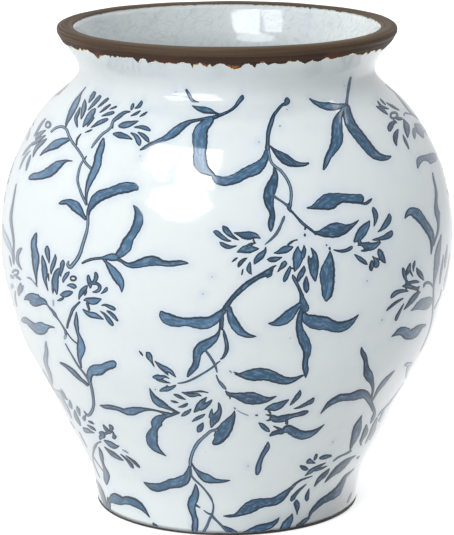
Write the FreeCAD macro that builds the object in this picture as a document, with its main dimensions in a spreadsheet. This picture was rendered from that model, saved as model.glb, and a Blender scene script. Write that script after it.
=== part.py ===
"""Talavera-style pottery vase: a thrown clay jar with a turned foot, a full
belly, a short waisted neck and a thick flared lip, carrying its fired coats
as separate pieces.

All lengths are millimetres.  The frame has its origin in the middle of the
foot, on the surface the vase stands on, with +Z up the axis of turning.

Pieces
  clay_body    the fired clay pot: foot ring, floor, wall, neck and lip
  outer_glaze  white tin glaze on the outside, foot line to lip
  inner_glaze  white tin glaze on the inside, floor to lip
  rim_slip     brown iron slip over the lip
  foot_slip    thin dark slip line round the foot, under the glaze edge
"""
import FreeCAD, Part

import os

import Sketcher  # registers the sketch object and its constraints

Vector = FreeCAD.Vector
DEG = 3  # degree of every spline in the sections

doc = FreeCAD.newDocument("TalaveraVase")

# ---------------------------------------------------------------- dimensions
sheet = doc.addObject("Spreadsheet::Sheet", "dims")
sheet.Label = "dims"
row_of_sheet = [0]


def cell(alias, value, note=""):
    """One driving dimension: note, value and alias on the next row."""
    row_of_sheet[0] += 1
    row = row_of_sheet[0]
    sheet.set("A%d" % row, note or alias)
    sheet.set("B%d" % row, str(value))
    sheet.setAlias("B%d" % row, alias)


# Thickness of the fired coats (glaze and slip).
cell("coat", 0.7, "glaze and slip coat thickness")

# Foot: a turned ring with a shallow recess inside it.
cell("recess_height", 3.0, "height of the recess under the floor")
cell("recess_radius", 64.0, "radius of the recess roof")
cell("foot_inner_radius", 67.0, "inner radius of the foot ring's flat")
cell("foot_outer_radius", 76.2, "outer radius of the foot ring's flat")
cell("foot_bevel_height", 0.3, "bevel at the foot's outer edge")
cell("foot_bevel_radius", 76.95, "clay radius at the top of that bevel")

# Finished outside of the pot, from the glaze's foot line to its edge under
# the lip: the poles of one cubic spline.
OUTER = [
    (78.2, 1.6), (79.4, 10.1), (80.5, 23.0), (92.4, 43.6), (106.3, 74.9),
    (123.1, 103.0), (127.5, 124.6), (132.6, 139.9), (133.9, 157.3),
    (133.7, 178.0), (128.3, 203.9), (118.2, 224.1), (107.9, 240.4),
    (94.6, 251.5), (85.5, 259.7), (86.7, 269.0), (96.6, 280.3),
]
for i, (r, z) in enumerate(OUTER, 1):
    cell("outer_radius_%02d" % i, r, "outside spline, pole %d radius" % i)
    cell("outer_height_%02d" % i, z, "outside spline, pole %d height" % i)

# Finished lip, from the crease on its outside over the top to the inner edge.
LIP = [
    (99.3, 284.6), (99.9, 287.2), (98.6, 288.9), (94.6, 288.95),
    (91.7, 288.8), (90.2, 288.0),
]
LIP_INSET = [  # direction from the finished lip into the clay
    (-1.0, -0.15), (-0.95, -0.45), (-0.45, -1.0), (0.05, -1.0),
    (0.55, -0.9), (0.8, -0.6),
]
for i, (r, z) in enumerate(LIP, 1):
    cell("lip_radius_%02d" % i, r, "lip spline, pole %d radius" % i)
    cell("lip_height_%02d" % i, z, "lip spline, pole %d height" % i)

# Finished inside of the pot, from the edge of the flat floor to the lip.
INNER = [
    (50.0, 13.0), (62.0, 13.0), (70.0, 16.5), (74.0, 27.0), (84.0, 46.0),
    (98.0, 77.0), (114.6, 105.0), (119.4, 125.5), (124.6, 140.5),
    (126.0, 157.5), (125.8, 177.0), (120.6, 201.5), (111.0, 220.5),
    (101.2, 235.0), (87.6, 246.5), (77.8, 257.0), (78.6, 267.5),
    (84.6, 279.0), (90.2, 288.0),
]
INNER_INSET = [  # direction from the finished inside into the clay
    (0.0, -1.0), (0.1, -1.0), (0.7, -0.7), (1.0, -0.3), (1.0, 0.0),
    (1.0, 0.0), (1.0, 0.0), (1.0, 0.0), (1.0, 0.0), (1.0, 0.0), (1.0, 0.0),
    (0.95, 0.3), (0.8, 0.6), (0.7, 0.7), (0.75, 0.65), (0.9, 0.2),
    (0.9, -0.2), (0.85, -0.45), (0.8, -0.6),
]
for i, (r, z) in enumerate(INNER, 1):
    cell("inner_radius_%02d" % i, r, "inside spline, pole %d radius" % i)
    cell("inner_height_%02d" % i, z, "inside spline, pole %d height" % i)

doc.recompute()


def value(expression):
    """The number an expression in sheet aliases stands for."""
    names = {}
    for row in range(1, row_of_sheet[0] + 1):
        alias = sheet.getAlias("B%d" % row)
        names[alias] = float(sheet.get(alias))
    total = 0.0
    for term in expression.replace(" - ", " + -").split(" + "):
        sign = 1.0
        if term.startswith("-"):
            sign, term = -1.0, term[1:]
        product = 1.0
        for factor in term.split(" * "):
            product *= names[factor] if factor in names else float(factor)
        total += sign * product
    return total


def shifted(alias, share):
    """alias moved by share coats, as an expression in sheet aliases."""
    if abs(share) < 1e-9:
        return alias
    return "%s %s %g * coat" % (alias, "+" if share > 0 else "-", abs(share))


def point(radius, height):
    return (radius, height)


def outer_poles(clay):
    share = -1.0 if clay else 0.0
    return [
        point(shifted("outer_radius_%02d" % i, share), "outer_height_%02d" % i)
        for i in range(1, len(OUTER) + 1)
    ]


def lip_poles(clay):
    poles = []
    for i, (dr, dz) in enumerate(LIP_INSET, 1):
        k = 1.0 if clay else 0.0
        poles.append(point(shifted("lip_radius_%02d" % i, k * dr),
                           shifted("lip_height_%02d" % i, k * dz)))
    return poles


def inner_poles(clay):
    poles = []
    for i, (dr, dz) in enumerate(INNER_INSET, 1):
        k = 1.0 if clay else 0.0
        poles.append(point(shifted("inner_radius_%02d" % i, k * dr),
                           shifted("inner_height_%02d" % i, k * dz)))
    return poles


# ------------------------------------------------------------------ sections
class Section:
    """A closed half-section on the XZ plane, turned about the Z axis."""

    def __init__(self, label):
        self.body = doc.addObject("PartDesign::Body", label)
        self.body.Label = label
        self.sketch = self.body.newObject("Sketcher::SketchObject",
                                          label + "_section")
        plane = [f for f in self.body.Origin.OriginFeatures
                 if f.Role == "XZ_Plane"][0]
        self.sketch.AttachmentSupport = [(plane, "")]
        self.sketch.MapMode = "FlatFace"
        self.ends = []     # (geometry, start point, end point) of each edge
        self.held = []     # constraints still to be added
        self.named = {}    # place in that list to (constraint name, expression)
        self.pinned = []   # corners that already have their sheet cells

    def _pin(self, geometry, position, where, name):
        """Ties a sketch point to its sheet cells, once for each corner."""
        place = (round(value(where[0]), 6), round(value(where[1]), 6))
        if place in self.pinned:
            return
        self.pinned.append(place)
        for kind, text, axis in (("DistanceX", where[0], "r"),
                                 ("DistanceY", where[1], "z")):
            number = value(text)
            if abs(number) < 1e-9:
                line = -2 if kind == "DistanceX" else -1
                self.held.append(Sketcher.Constraint(
                    "PointOnObject", geometry, position, line))
                continue
            self.named[len(self.held)] = ("%s_%s" % (name, axis), text)
            self.held.append(Sketcher.Constraint(
                kind, -1, 1, geometry, position, number))

    def line(self, start, end, pin_start=None, pin_end=None):
        a = Vector(value(start[0]), value(start[1]), 0)
        b = Vector(value(end[0]), value(end[1]), 0)
        g = self.sketch.addGeometry(Part.LineSegment(a, b), False)
        self.ends.append((g, 1, 2))
        if pin_start:
            self._pin(g, 1, start, pin_start)
        if pin_end:
            self._pin(g, 2, end, pin_end)
        return g

    def spline(self, poles, name, reverse=False):
        points = [Vector(value(r), value(z), 0) for r, z in poles]
        g = self.sketch.addGeometry(
            Part.BSplineCurve(points, None, None, False, DEG, None, False),
            False)
        self.sketch.exposeInternalGeometry(g)
        circles = {}
        for c in self.sketch.Constraints:
            if (c.Type == "InternalAlignment" and c.Second == g
                    and self.sketch.Geometry[c.First].TypeId
                    == "Part::GeomCircle"):
                centre = self.sketch.Geometry[c.First].Center
                near = min(range(len(points)),
                           key=lambda i: (points[i] - centre).Length)
                circles[near] = c.First
        for i, pole in enumerate(poles):
            self._pin(circles[i], 3, pole, "%s_%02d" % (name, i + 1))
        self.ends.append((g, 2, 1) if reverse else (g, 1, 2))
        return g

    def close(self):
        """Joins each edge's end to the next edge's start."""
        for (g, _, last), (h, first, _) in zip(
                self.ends, self.ends[1:] + self.ends[:1]):
            self.held.append(Sketcher.Constraint(
                "Coincident", g, last, h, first))
        added = self.sketch.addConstraint(self.held)
        for place, (label, text) in self.named.items():
            self.sketch.renameConstraint(added[place], label)
            full = " ".join("dims." + w if w[0].isalpha() else w
                            for w in text.split(" "))
            self.sketch.setExpression("Constraints." + label, full)
        doc.recompute()
        turned = self.body.newObject("PartDesign::Revolution",
                                     self.body.Label + "_turned")
        turned.Profile = self.sketch
        turned.ReferenceAxis = (self.sketch, ["V_Axis"])
        turned.Angle = 360.0
        self.sketch.Visibility = False
        doc.recompute()
        return self.body


ON_AXIS = "0"

outer_clay, outer_done = outer_poles(True), outer_poles(False)
lip_clay, lip_done = lip_poles(True), lip_poles(False)
inner_clay, inner_done = inner_poles(True), inner_poles(False)

# Clay pot: underside, foot ring, wall, lip, inside wall and floor.
s = Section("clay_body")
recess = point("recess_radius", "recess_height")
foot_in = point("foot_inner_radius", "0")
foot_out = point("foot_outer_radius", "0")
bevel = point("foot_bevel_radius", "foot_bevel_height")
floor = point(ON_AXIS, inner_clay[0][1])
s.line(point(ON_AXIS, "recess_height"), recess, pin_start="recess_axis",
       pin_end="recess")
s.line(recess, foot_in, pin_end="foot_in")
s.line(foot_in, foot_out, pin_end="foot_out")
s.line(foot_out, bevel, pin_end="bevel")
s.line(bevel, outer_clay[0])
s.spline(outer_clay, "outer")
s.line(outer_clay[-1], lip_clay[0])
s.spline(lip_clay, "lip")
s.spline(inner_clay, "inner", reverse=True)
s.line(inner_clay[0], floor, pin_end="floor_axis")
s.line(floor, point(ON_AXIS, "recess_height"))
# The lip spline already ends on the inside spline's last pole.
clay_body = s.close()

# White glaze on the outside.
s = Section("outer_glaze")
s.line(outer_clay[0], outer_done[0])
s.spline(outer_done, "done")
s.line(outer_done[-1], outer_clay[-1])
s.spline(outer_clay, "clay", reverse=True)
outer_glaze = s.close()

# White glaze on the inside.
s = Section("inner_glaze")
floor_done = point(ON_AXIS, inner_done[0][1])
s.line(floor, inner_clay[0], pin_start="floor_clay")
s.spline(inner_clay, "clay")
s.line(inner_clay[-1], inner_done[-1])
s.spline(inner_done, "done", reverse=True)
s.line(inner_done[0], floor_done, pin_end="floor_done")
s.line(floor_done, floor)
inner_glaze = s.close()

# Brown iron slip over the lip.
s = Section("rim_slip")
s.line(outer_clay[-1], outer_done[-1], pin_start="edge_clay",
       pin_end="edge_done")
s.line(outer_done[-1], lip_done[0])
s.spline(lip_done, "done")
s.line(lip_done[-1], lip_clay[-1])
s.spline(lip_clay, "clay", reverse=True)
s.line(lip_clay[0], outer_clay[-1])
rim_slip = s.close()

# Dark slip line round the foot.
s = Section("foot_slip")
bevel_done = point("foot_bevel_radius + coat", "foot_bevel_height")
s.line(bevel, bevel_done, pin_start="low_clay", pin_end="low_done")
s.line(bevel_done, outer_done[0], pin_end="high_done")
s.line(outer_done[0], outer_clay[0], pin_end="high_clay")
s.line(outer_clay[0], bevel)
foot_slip = s.close()

doc.recompute()

# -------------------------------------------------------------------- checks
for item in doc.Objects:
    bad = [flag for flag in item.State if flag in ("Invalid", "Error")]
    if bad:
        raise RuntimeError("%s is %s" % (item.Name, bad))

pieces = [clay_body, outer_glaze, inner_glaze, rim_slip, foot_slip]
for piece in pieces:
    shape = piece.Shape
    if shape.isNull() or not shape.isValid() or not shape.Solids:
        raise RuntimeError("%s has no valid solid" % piece.Label)
    for solid in shape.Solids:
        if solid.Volume <= 0 or not solid.isClosed():
            raise RuntimeError("%s is open or inside out" % piece.Label)

os.makedirs("parts", exist_ok=True)
for piece in pieces:
    piece.Shape.exportStep(os.path.join("parts", piece.Label + ".step"))
    box = piece.Shape.BoundBox
    print("%-12s %d solid, %9.1f mm3, r %.2f, z %.2f to %.2f" % (
        piece.Label, len(piece.Shape.Solids), piece.Shape.Volume,
        box.XMax, box.ZMin, box.ZMax))
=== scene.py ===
import math

import bpy
import numpy as np
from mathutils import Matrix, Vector


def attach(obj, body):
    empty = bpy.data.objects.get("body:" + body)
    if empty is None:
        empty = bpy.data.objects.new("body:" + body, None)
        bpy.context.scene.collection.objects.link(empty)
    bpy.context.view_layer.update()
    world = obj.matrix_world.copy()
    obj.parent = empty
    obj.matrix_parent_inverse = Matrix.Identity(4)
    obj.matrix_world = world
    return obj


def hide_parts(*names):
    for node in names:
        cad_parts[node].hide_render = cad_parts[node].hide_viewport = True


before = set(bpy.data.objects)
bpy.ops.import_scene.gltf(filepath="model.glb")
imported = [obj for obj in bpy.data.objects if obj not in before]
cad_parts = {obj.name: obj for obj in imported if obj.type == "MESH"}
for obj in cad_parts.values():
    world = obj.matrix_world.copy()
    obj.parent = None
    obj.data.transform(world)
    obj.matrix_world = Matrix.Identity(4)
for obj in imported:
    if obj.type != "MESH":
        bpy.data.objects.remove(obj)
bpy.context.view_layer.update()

# ---------------------------------------------------------------- profile of the vase, millimetres
OUTER = [(78.2, 1.6), (79.4, 10.1), (80.5, 23.0), (92.4, 43.6), (106.3, 74.9), (123.1, 103.0), (127.5, 124.6),
         (132.6, 139.9), (133.9, 157.3), (133.7, 178.0), (128.3, 203.9), (118.2, 224.1), (107.9, 240.4),
         (94.6, 251.5), (85.5, 259.7), (86.7, 269.0), (96.6, 280.3)]
LIP = [(99.3, 284.6), (99.9, 287.2), (98.6, 288.9), (94.6, 288.95), (91.7, 288.8), (90.2, 288.0)]
INNER = [(50.0, 13.0), (62.0, 13.0), (70.0, 16.5), (74.0, 27.0), (84.0, 46.0), (98.0, 77.0), (114.6, 105.0),
         (119.4, 125.5), (124.6, 140.5), (126.0, 157.5), (125.8, 177.0), (120.6, 201.5), (111.0, 220.5),
         (101.2, 235.0), (87.6, 246.5), (77.8, 257.0), (78.6, 267.5), (84.6, 279.0), (90.2, 288.0)]
COAT = 0.7


def bspline(points, n):
    """n points along a clamped uniform cubic B-spline."""
    p = np.array(points, float)
    m = len(p)
    knots = np.concatenate([np.zeros(3), np.linspace(0, 1, m - 2), np.ones(3)])
    t = np.linspace(0, 1, n)
    t[-1] = 1 - 1e-12
    basis = np.array([(t >= knots[i]) & (t < knots[i + 1]) for i in range(len(knots) - 1)], float)
    for k in range(1, 4):
        nxt = np.zeros((len(basis) - 1, n))
        for i in range(len(nxt)):
            a = knots[i + k] - knots[i]
            b = knots[i + k + 1] - knots[i + 1]
            if a > 0:
                nxt[i] += (t - knots[i]) / a * basis[i]
            if b > 0:
                nxt[i] += (knots[i + k + 1] - t) / b * basis[i + 1]
        basis = nxt
    return basis.T @ p


def by_length(curve, n, bend=0.0):
    """The curve resampled at n points evenly spaced along its length, or closer where it bends."""
    d = np.hypot(*np.diff(curve, axis=0).T)
    if bend:
        a = np.unwrap(np.arctan2(*np.gradient(curve, axis=0).T))
        turn = np.abs(np.diff(a))
        turn = np.convolve(np.pad(turn, 40, "edge"), np.ones(81) / 81, "valid")
        d = d + bend * turn
    s = np.concatenate([[0], np.cumsum(d)])
    q = np.linspace(0, s[-1], n)
    return np.stack([np.interp(q, s, curve[:, 0]), np.interp(q, s, curve[:, 1])], 1)


OUT_FINE = np.vstack([bspline(OUTER, 4000), np.linspace((96.6, 280.3), (99.3, 284.6), 60)[1:]])
LIP_FINE = bspline(LIP, 600)
IN_FINE = np.vstack([np.linspace((0.0, 13.0), (50.0, 13.0), 200)[:-1], bspline(INNER, 4000)])


def radius_at(z):
    """Outer radius at height z, mm."""
    return np.interp(z, OUT_FINE[:, 1], OUT_FINE[:, 0])


def slope_at(z):
    """dr/dz of the outside at height z."""
    return (radius_at(z + 0.4) - radius_at(z - 0.4)) / 0.8


def thrown(theta, z):
    """How far a wheel-thrown, hand-finished wall stands off the true profile, mm."""
    v = (0.10 * np.sin(2 * theta + 0.7 + z * 0.006)
         + 0.06 * np.sin(3 * theta + 2.1 - z * 0.011)
         + 0.04 * np.sin(5 * theta + 0.3 + z * 0.021)
         + 0.03 * np.sin(7 * theta - 1.1 - z * 0.033) * np.sin(z * 0.045 + 1.0))
    rings = (0.045 * np.sin(z * 0.62 + 0.5 * np.sin(theta + 0.4))
             + 0.03 * np.sin(z * 0.37 + 1.3 + 0.7 * np.sin(2 * theta))) * np.clip((z - 170) / 60, 0.25, 1)
    edge = np.clip((284.6 - z) / 9, 0, 1) * np.clip(z / 10, 0, 1)
    return (v + rings) * edge


# ---------------------------------------------------------------- the photographer's camera
CAM = np.array([0.0, -1670.26, 527.08])
PITCH = 0.22651
FOCAL = 2875.0
WIDE, HIGH = 454, 535
FWD = np.array([0.0, math.cos(PITCH), -math.sin(PITCH)])
UP = np.array([0.0, math.sin(PITCH), math.cos(PITCH)])


def rays(px, py):
    u = (np.asarray(px, float) - WIDE / 2) / FOCAL
    v = (np.asarray(py, float) - HIGH / 2) / FOCAL
    d = FWD + u[:, None] * np.array([1.0, 0, 0]) - v[:, None] * UP
    return d / np.linalg.norm(d, axis=1)[:, None]


def onto_vase(px, py):
    """(theta, z) where a line of sight meets the outside. Theta is 0 at the front and grows to the right.
    A line that just misses is taken to the nearest point of the outline."""
    out_t, out_z = [], []
    px, py = np.asarray(px, float), np.asarray(py, float)
    for a in range(0, len(px), 20000):
        d = rays(px[a:a + 20000], py[a:a + 20000])
        t0 = 1670.26 / d[:, 1]
        ts = t0[:, None] + np.linspace(-150, 12, 163)[None, :]
        p = CAM + ts[..., None] * d[:, None, :]
        gap = np.hypot(p[..., 0], p[..., 1]) - radius_at(p[..., 2])
        inside = gap <= 0
        hit = inside.any(1)
        first = np.where(hit, inside.argmax(1), gap.argmin(1))
        first = np.clip(first, 1, ts.shape[1] - 2)
        rows = np.arange(len(d))
        lo, hi = ts[rows, first - 1], ts[rows, first]
        for _ in range(24):
            mid = (lo + hi) / 2
            q = CAM + mid[:, None] * d
            ins = np.hypot(q[:, 0], q[:, 1]) <= radius_at(q[:, 2])
            lo, hi = np.where(ins, lo, mid), np.where(ins, mid, hi)
        t_hit = (lo + hi) / 2
        # nearest approach, for lines that miss
        lo, hi = ts[rows, first - 1], ts[rows, first + 1]
        for _ in range(30):
            m1, m2 = lo + (hi - lo) / 3, hi - (hi - lo) / 3
            q1, q2 = CAM + m1[:, None] * d, CAM + m2[:, None] * d
            g1 = np.hypot(q1[:, 0], q1[:, 1]) - radius_at(q1[:, 2])
            g2 = np.hypot(q2[:, 0], q2[:, 1]) - radius_at(q2[:, 2])
            lo, hi = np.where(g1 < g2, lo, m1), np.where(g1 < g2, m2, hi)
        t = np.where(hit, t_hit, (lo + hi) / 2)
        q = CAM + t[:, None] * d
        out_t.append(np.arctan2(q[:, 0], -q[:, 1]))
        out_z.append(q[:, 2])
    th, z = np.concatenate(out_t), np.concatenate(out_z)
    edge = math.radians(81)
    far = np.abs(th) > edge
    th = np.where(far, np.sign(th) * (edge + (np.abs(th) - edge) * 1.3), th)
    return th, np.clip(z, 2.2, 284.3)


def place(theta, z, lift):
    """World position in metres of a point on the outside, lifted along the surface normal by lift mm."""
    r = radius_at(z) + thrown(theta, z)
    g = slope_at(z)
    nr, nz = 1 / np.hypot(1, g), -g / np.hypot(1, g)
    rr, zz = r + lift * nr, z + lift * nz
    return np.stack([rr * np.sin(theta), -rr * np.cos(theta), zz], -1) / 1000.0

# ---------------------------------------------------------------- the painter's strokes, as seen: kind, dark side, paleness, then x,y,width along the line
STROKES = {
    "spray_upper_left": [
        ("b", 0.4, 0, "86,87,.8 81,93.5,2 77,101,6 73,109,6.8 69.3,117,5.3 66.7,123,3 65.8,127.5,1.2"),
        ("d", 0, 0, "95,92,3.8 92.5,96.5,4.6 90.3,100,3.4 88.8,102.8,1.2"),
        ("b", 0, 0, "100.6,95.8,3.4 97.5,99.5,4.2 93,104.7,3.6 88,110.2,1"),
        ("d", 0, 0, "108.5,98.3,2.6 104.5,101.6,3.2 100.5,105,2.6 97.5,107.5,1"),
        ("b", -0.3, 0, "95.5,108.6,2 93.2,111.5,5.5 90.3,115.8,7 87,121,6.2 84.6,124.4,3.6 82.8,127.3,1"),
        ("b", 0, 0, "93.5,117,3.4 90.3,122,3 87,126.8,.9"),
        ("d", 0, 0, "110.6,104.4,1.8 106.5,107.5,3 103,110.3,2.6 99.8,112.6,1"),
        ("d", 0, 0, "116.7,106.3,1.8 113.5,107.8,2.2 109.5,109.3,.9"),
        ("b", 0, 0, "114,112.3,3.2 110,113.4,3.8 106,114.6,3 101.8,116.1,1"),
        ("b", 0, 0, "107.9,119,3 103.5,120.8,4.4 99,122.8,4.6 95,125.3,3 91,127.5,1"),
        ("d", 0, 0, "92.2,129.5,1.3 89,131,2 85.2,132.4,.9"),
        ("b", -0.3, 0, "84.8,99.3,1 84.6,103.5,4.2 83.8,109,5.4 82.3,115,3.6 81,119.2,1"),
        ("b", 0, 0, "80.2,107.2,1 78.6,112,3.4 76,118,4 76.6,123.5,2.8 77.6,127.4,1"),
        ("o", 0, 0, "50.8,132,2 55.4,128.2,2.6 61.5,126.5,2.8 66,128.8,2.8 68,132.9,2.8 69.3,136.5,2.8 72.3,142,2.8 75.8,146.7,2.6 79.2,151.2,2.6 82.7,156.7,2.6 84.3,160.5,2.6 87,164.4,2.8 91.5,168.8,3"),
        ("d", 0, 0, "81.4,133.6,1 78.8,136.8,2 77,140,2.1 76.4,145.2,1.6"),
        ("d", 0, 0, "86.7,155.8,1 84.5,160,2"),
        ("o", 0, 0, "83.2,160.6,2 80.6,165.4,2.2 79.2,170,2.5 77.8,177,2.5 78,183,2.5 79.8,189,2.5 82,195,2.8 84.5,200.5,2.8 86.8,205,3"),
        ("o", 0, 0, "118,115.8,1 112.9,121.8,2.4 111.4,126.5,2.8 107.7,130.4,2.8 102.3,134.3,2.8 97,140.4,2.8 93.8,144.5,2.4 91.6,148,1.6"),
        ("b", -0.5, 0, "70.8,138.6,2.4 66.5,140,5.4 61,141.8,8 55,145,9.4 49.5,148.2,6 44,151.8,3.4 39.8,155.6,1"),
        ("b", -0.5, 0, "72.6,161,.8 66,161,3 58,165,9 50,171.6,10.8 42,175.2,8.8 34,176.6,7.6 30.6,178,5.5 29,179,2.6"),
        ("b", 0.6, 0, "103.7,138,2 102.6,142.3,5.2 101.4,147,7.2 98.7,155,8.2 97.3,164,8.7 93.5,173,8.6 89.4,182,6.7 87,190,4.2 86.3,197,2.8 86.4,204,2.6"),
        ("b", 0.7, 0, "88,216.5,3 88.7,211,4.6 91.6,205.4,7.4 95.8,199.4,10.6 101.5,195.2,11.6 108.5,192.9,10.6 115.5,190.3,10.4 122,188.3,11.6 128,187.4,11.4 133.4,187.2,9.4 136.4,188.6,6.6 137.4,190,3.4"),
        ("b", 0.5, 0, "59,203.6,2.2 62.5,202.6,4.6 67,202,6.2 71.5,203.6,9.4 75.6,206.6,11 79.4,211,8.4 82.8,215.4,5 86,219.6,3"),
        ("o", 0, 0, "87.6,215,3.4 88,221,3 87.4,228,2.8 86,234,3.4 84.2,240,3.5 82.3,246,3.6 80.6,252,3.8 77.8,258,4 74.2,263,4 70.4,267,4.4 67.8,264.8,3.2 68.6,261,1.4"),
    ],
    "florets_upper_left": [
        ("b", 0, 0, "112.5,128.4,1.6 113.2,121.6,3.2 118.6,116.8,4.8 124.5,112.6,3.8 130.3,111.6,1.6"),
        ("d", 0, 0, "131,110.2,1.4 132.4,106.6,3.8 133.6,103.4,2"),
        ("b", 0, 0, "134.8,108.4,1.2 138.8,106.4,3.8 141.4,102.6,3.4 142,100.6,1.4"),
        ("d", 0, 0, "130.8,116,1.2 136,113.6,3 140.4,110.8,1.4"),
        ("d", 0, 0, "139.8,116.6,1.2 143.6,114.4,2.6 147.3,111.8,1.2"),
        ("b", 0.3, 0, "138.4,121,1.2 131.6,123.3,5.4 124.6,125,7.2 119,126.2,3.6"),
        ("b", 0, 0, "134.2,127.3,1.2 140.6,127,3.8 146.3,128.4,4.8 150.3,130.6,2"),
        ("b", 0, 0, "113.2,133.8,2 118.8,134.8,6.6 125.3,136.4,5.4 129.2,137.8,3.2 132.4,139.4,1.2"),
        ("b", 0, 0, "130.8,132.8,1.4 135.6,135.8,4.3 138.6,141,5.8 139.6,145.4,2.8"),
        ("b", 0, 0, "137.8,132.2,1.2 142.4,134.9,4.3 146.5,138.7,4.9 149,142.4,1.8"),
    ],
    "spray_far_left": [
        ("m", 0, 0.1, "45.6,124.8,1.8 47.4,121.9,2.6 50.2,123.4,2.4 49.6,126.6,2.4 46.6,127.4,2 45.4,125,1.8"),
        ("m", 0, 0.2, "45.8,118.3,1 42.6,122,2.4 39.8,126,2.6 37,131,2.4 33.8,136.4,1"),
        ("l", 0, 0.6, "30.2,127.6,1 28.4,133,3 26.8,140.4,1.2"),
        ("b", 0, 0.2, "45.6,130.2,1.2 41.2,132.8,4 37.6,136,4.2 35.6,139.6,1.6"),
        ("b", 0, 0.2, "45.6,135.2,1.2 40.2,138.6,3.8 35.2,142.6,3.4 30.6,146,1"),
        ("m", 0, 0.4, "33,142,1 28.8,147,2.4 25.2,151.6,2.4 22.3,155.8,1"),
        ("b", 0, 0.15, "46.7,138.6,1.2 42,142.4,4.2 37.2,147,4.4 34.4,151.8,3 32.8,157,1"),
        ("m", 0, 0.5, "30.2,150.6,1 26,155,2 22,162,2 19.4,169.2,1"),
        ("m", 0, 0.3, "30.5,154.8,1.2 28.8,160,2.8 27,165.6,2.6 25.7,170.8,1"),
        ("m", 0, 0.3, "16.1,183.8,.9 14.8,191,1.7 13.4,199,1.9 11.9,208,2.5 10.8,216,3 11,222.5,3 12,230,2.8 13,237,2.5 13.5,245,2 13,252,2.6 13.2,258,2.8 13.6,264.6,1"),
        ("l", 0, 0.7, "2.6,224,.9 3.2,230,2.6 5.4,236.6,4.6 8.2,243.6,4.8 10.6,250,3 12,255.4,1.4"),
        ("m", 0, 0.4, "9.2,255.8,1 10.2,261,1.7 11.2,266.4,.9"),
    ],
    "spray_left_middle": [
        ("m", 0, 0.35, "21.2,248.2,2.6 18.8,251.2,4 17.2,256.4,3.6 17.4,261.6,3.4 19.2,266,2.4 21.6,270,1"),
        ("m", 0, 0.4, "12,273,2.2 14.4,270.3,2.6 17.8,271.2,2.4 17.2,274,2 13.4,275.4,2"),
        ("m", 0, 0.35, "14.8,274.6,2 17.4,277.4,2.8 20.4,279.8,1.8"),
        ("m", 0, 0.5, "10.4,275,2 11.8,277.2,3 13.6,278,2"),
        ("l", 0, 0.6, "11.4,284,1.4 11.8,286.4,3.2 11.5,288.8,1"),
        ("m", 0, 0.35, "20.2,283,1.6 19.8,287.4,5 19.2,291.6,4.6 18.5,296,1.2"),
        ("m", 0, 0.4, "23,285.2,1 22.2,289,2 21.2,292.6,1"),
        ("m", 0, 0.45, "15,291,.9 14.8,297,1.5 15.6,302.4,1.4 16.7,307,.8"),
        ("m", 0, 0.45, "26.8,277.6,1.2 29.4,278.2,2 32.4,280.8,1 35,284,1.4 37.2,286.8,1.4"),
        ("b", 0.5, 0, "36.2,232.8,1.6 35.2,236,4.2 34,240.5,6.2 33.6,246,6.6 34.4,251,7.2 35.2,256,8.2 35.5,260.6,8 35.4,265.6,6.8 35.4,270.4,4.8 35.8,275.4,2.8 36.2,280.4,1.8 36.5,286,.8"),
        ("b", 0.3, 0, "42,255.2,.9 42.8,260,3.8 43.8,265,5.4 44.4,270,6.2 44.8,275,5.8 44.8,279.6,3.8 46,284.4,2.4 47.9,291,.8"),
        ("d", 0, 0, "47.6,273.6,2.4 48.4,277.4,1.8 48.6,281.2,.8"),
        ("b", 0.3, 0, "47,245.8,1.8 46.9,248.8,5 47.3,252.4,5.4 48,256.4,4.4 48.7,260.2,2.6 49,263.4,.8"),
        ("b", 0, 0, "55.1,254.3,.9 55.1,258,3.4 53.8,262.6,4.5 52.2,267.2,4.4 51.1,271.2,2.7 51,274.4,.8"),
        ("b", 0, 0, "63.2,260.2,2 62.6,263.2,5 61.9,267.2,4.6 61.1,271.2,3.6 60.5,274.2,2.4 60.7,277,.8"),
        ("b", 0, 0, "69.4,271.8,1.2 67.3,274,4.4 65.2,277,4.4 63.6,279.7,3.2 63.1,282.6,1.4"),
        ("b", 0.4, 0, "60.4,268,1.6 58,271,5.6 56,275.5,6.8 55,281,7.6 55.1,286,7.4 56.1,290,4.6 56.8,294.8,.9"),
        ("b", 0, 0, "53.1,285,3.6 52.7,289.6,2.6 52.9,293.8,.8"),
        ("d", 0, 0, "70.2,278.3,1.6 71.4,276.6,2 74,276.5,2 76,278,2 74.8,280.2,2 71.6,280.2,2 70.2,278.5,1.6"),
        ("b", 0, 0, "67,285.6,1.2 70,285.2,3.8 73,286,5.2 75.2,286.8,4.8 76.5,287,2"),
        ("b", 0, 0, "60.1,295,2 63.3,294.6,6 67,293.7,7 70.2,292.8,5 72.7,292.2,2"),
        ("b", 0, 0, "63.6,297.8,2.2 60.4,299.8,3 57.2,300.6,1.2"),
        ("l", 0, 0.7, "53,299.8,1 53.2,302,1.8 53.2,306,1.2"),
    ],
    "florets_left": [
        ("b", 0.3, 0, "88.2,275.2,2.6 88.6,279,4.4 89.8,283,5 90.4,286.2,3.6 90.4,288.3,1.4"),
        ("d", 0, 0, "95.5,272.4,2.8 96.3,276.2,4.9 95.3,280,4.4 93,283.6,4.6"),
        ("d", 0, 0, "89.5,282.8,3 93,283,4 97,283.6,3.4 99.7,286.2,3.8 99.1,289.6,4 96.2,291.6,3 92.6,292,1.2"),
        ("d", 0, 0, "107,287.4,2.2 106,289.6,4 103.8,291.8,2.8 100.8,293.7,.9"),
        ("b", -0.3, 0, "87.4,285.3,1.6 85.3,288,4.8 82.6,291.2,6.2 80.6,294.2,4.6 79.4,297,2.6 78.8,299.7,.9"),
        ("d", 0, 0, "86.2,290,2 85.7,293,2.4 84.5,295.7,1.2"),
        ("b", -0.3, 0, "83.8,300.3,1.6 87,299.6,4.4 91,300.8,7.4 95,300.9,8 98.4,300,5 101.5,298.9,1.2"),
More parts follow.
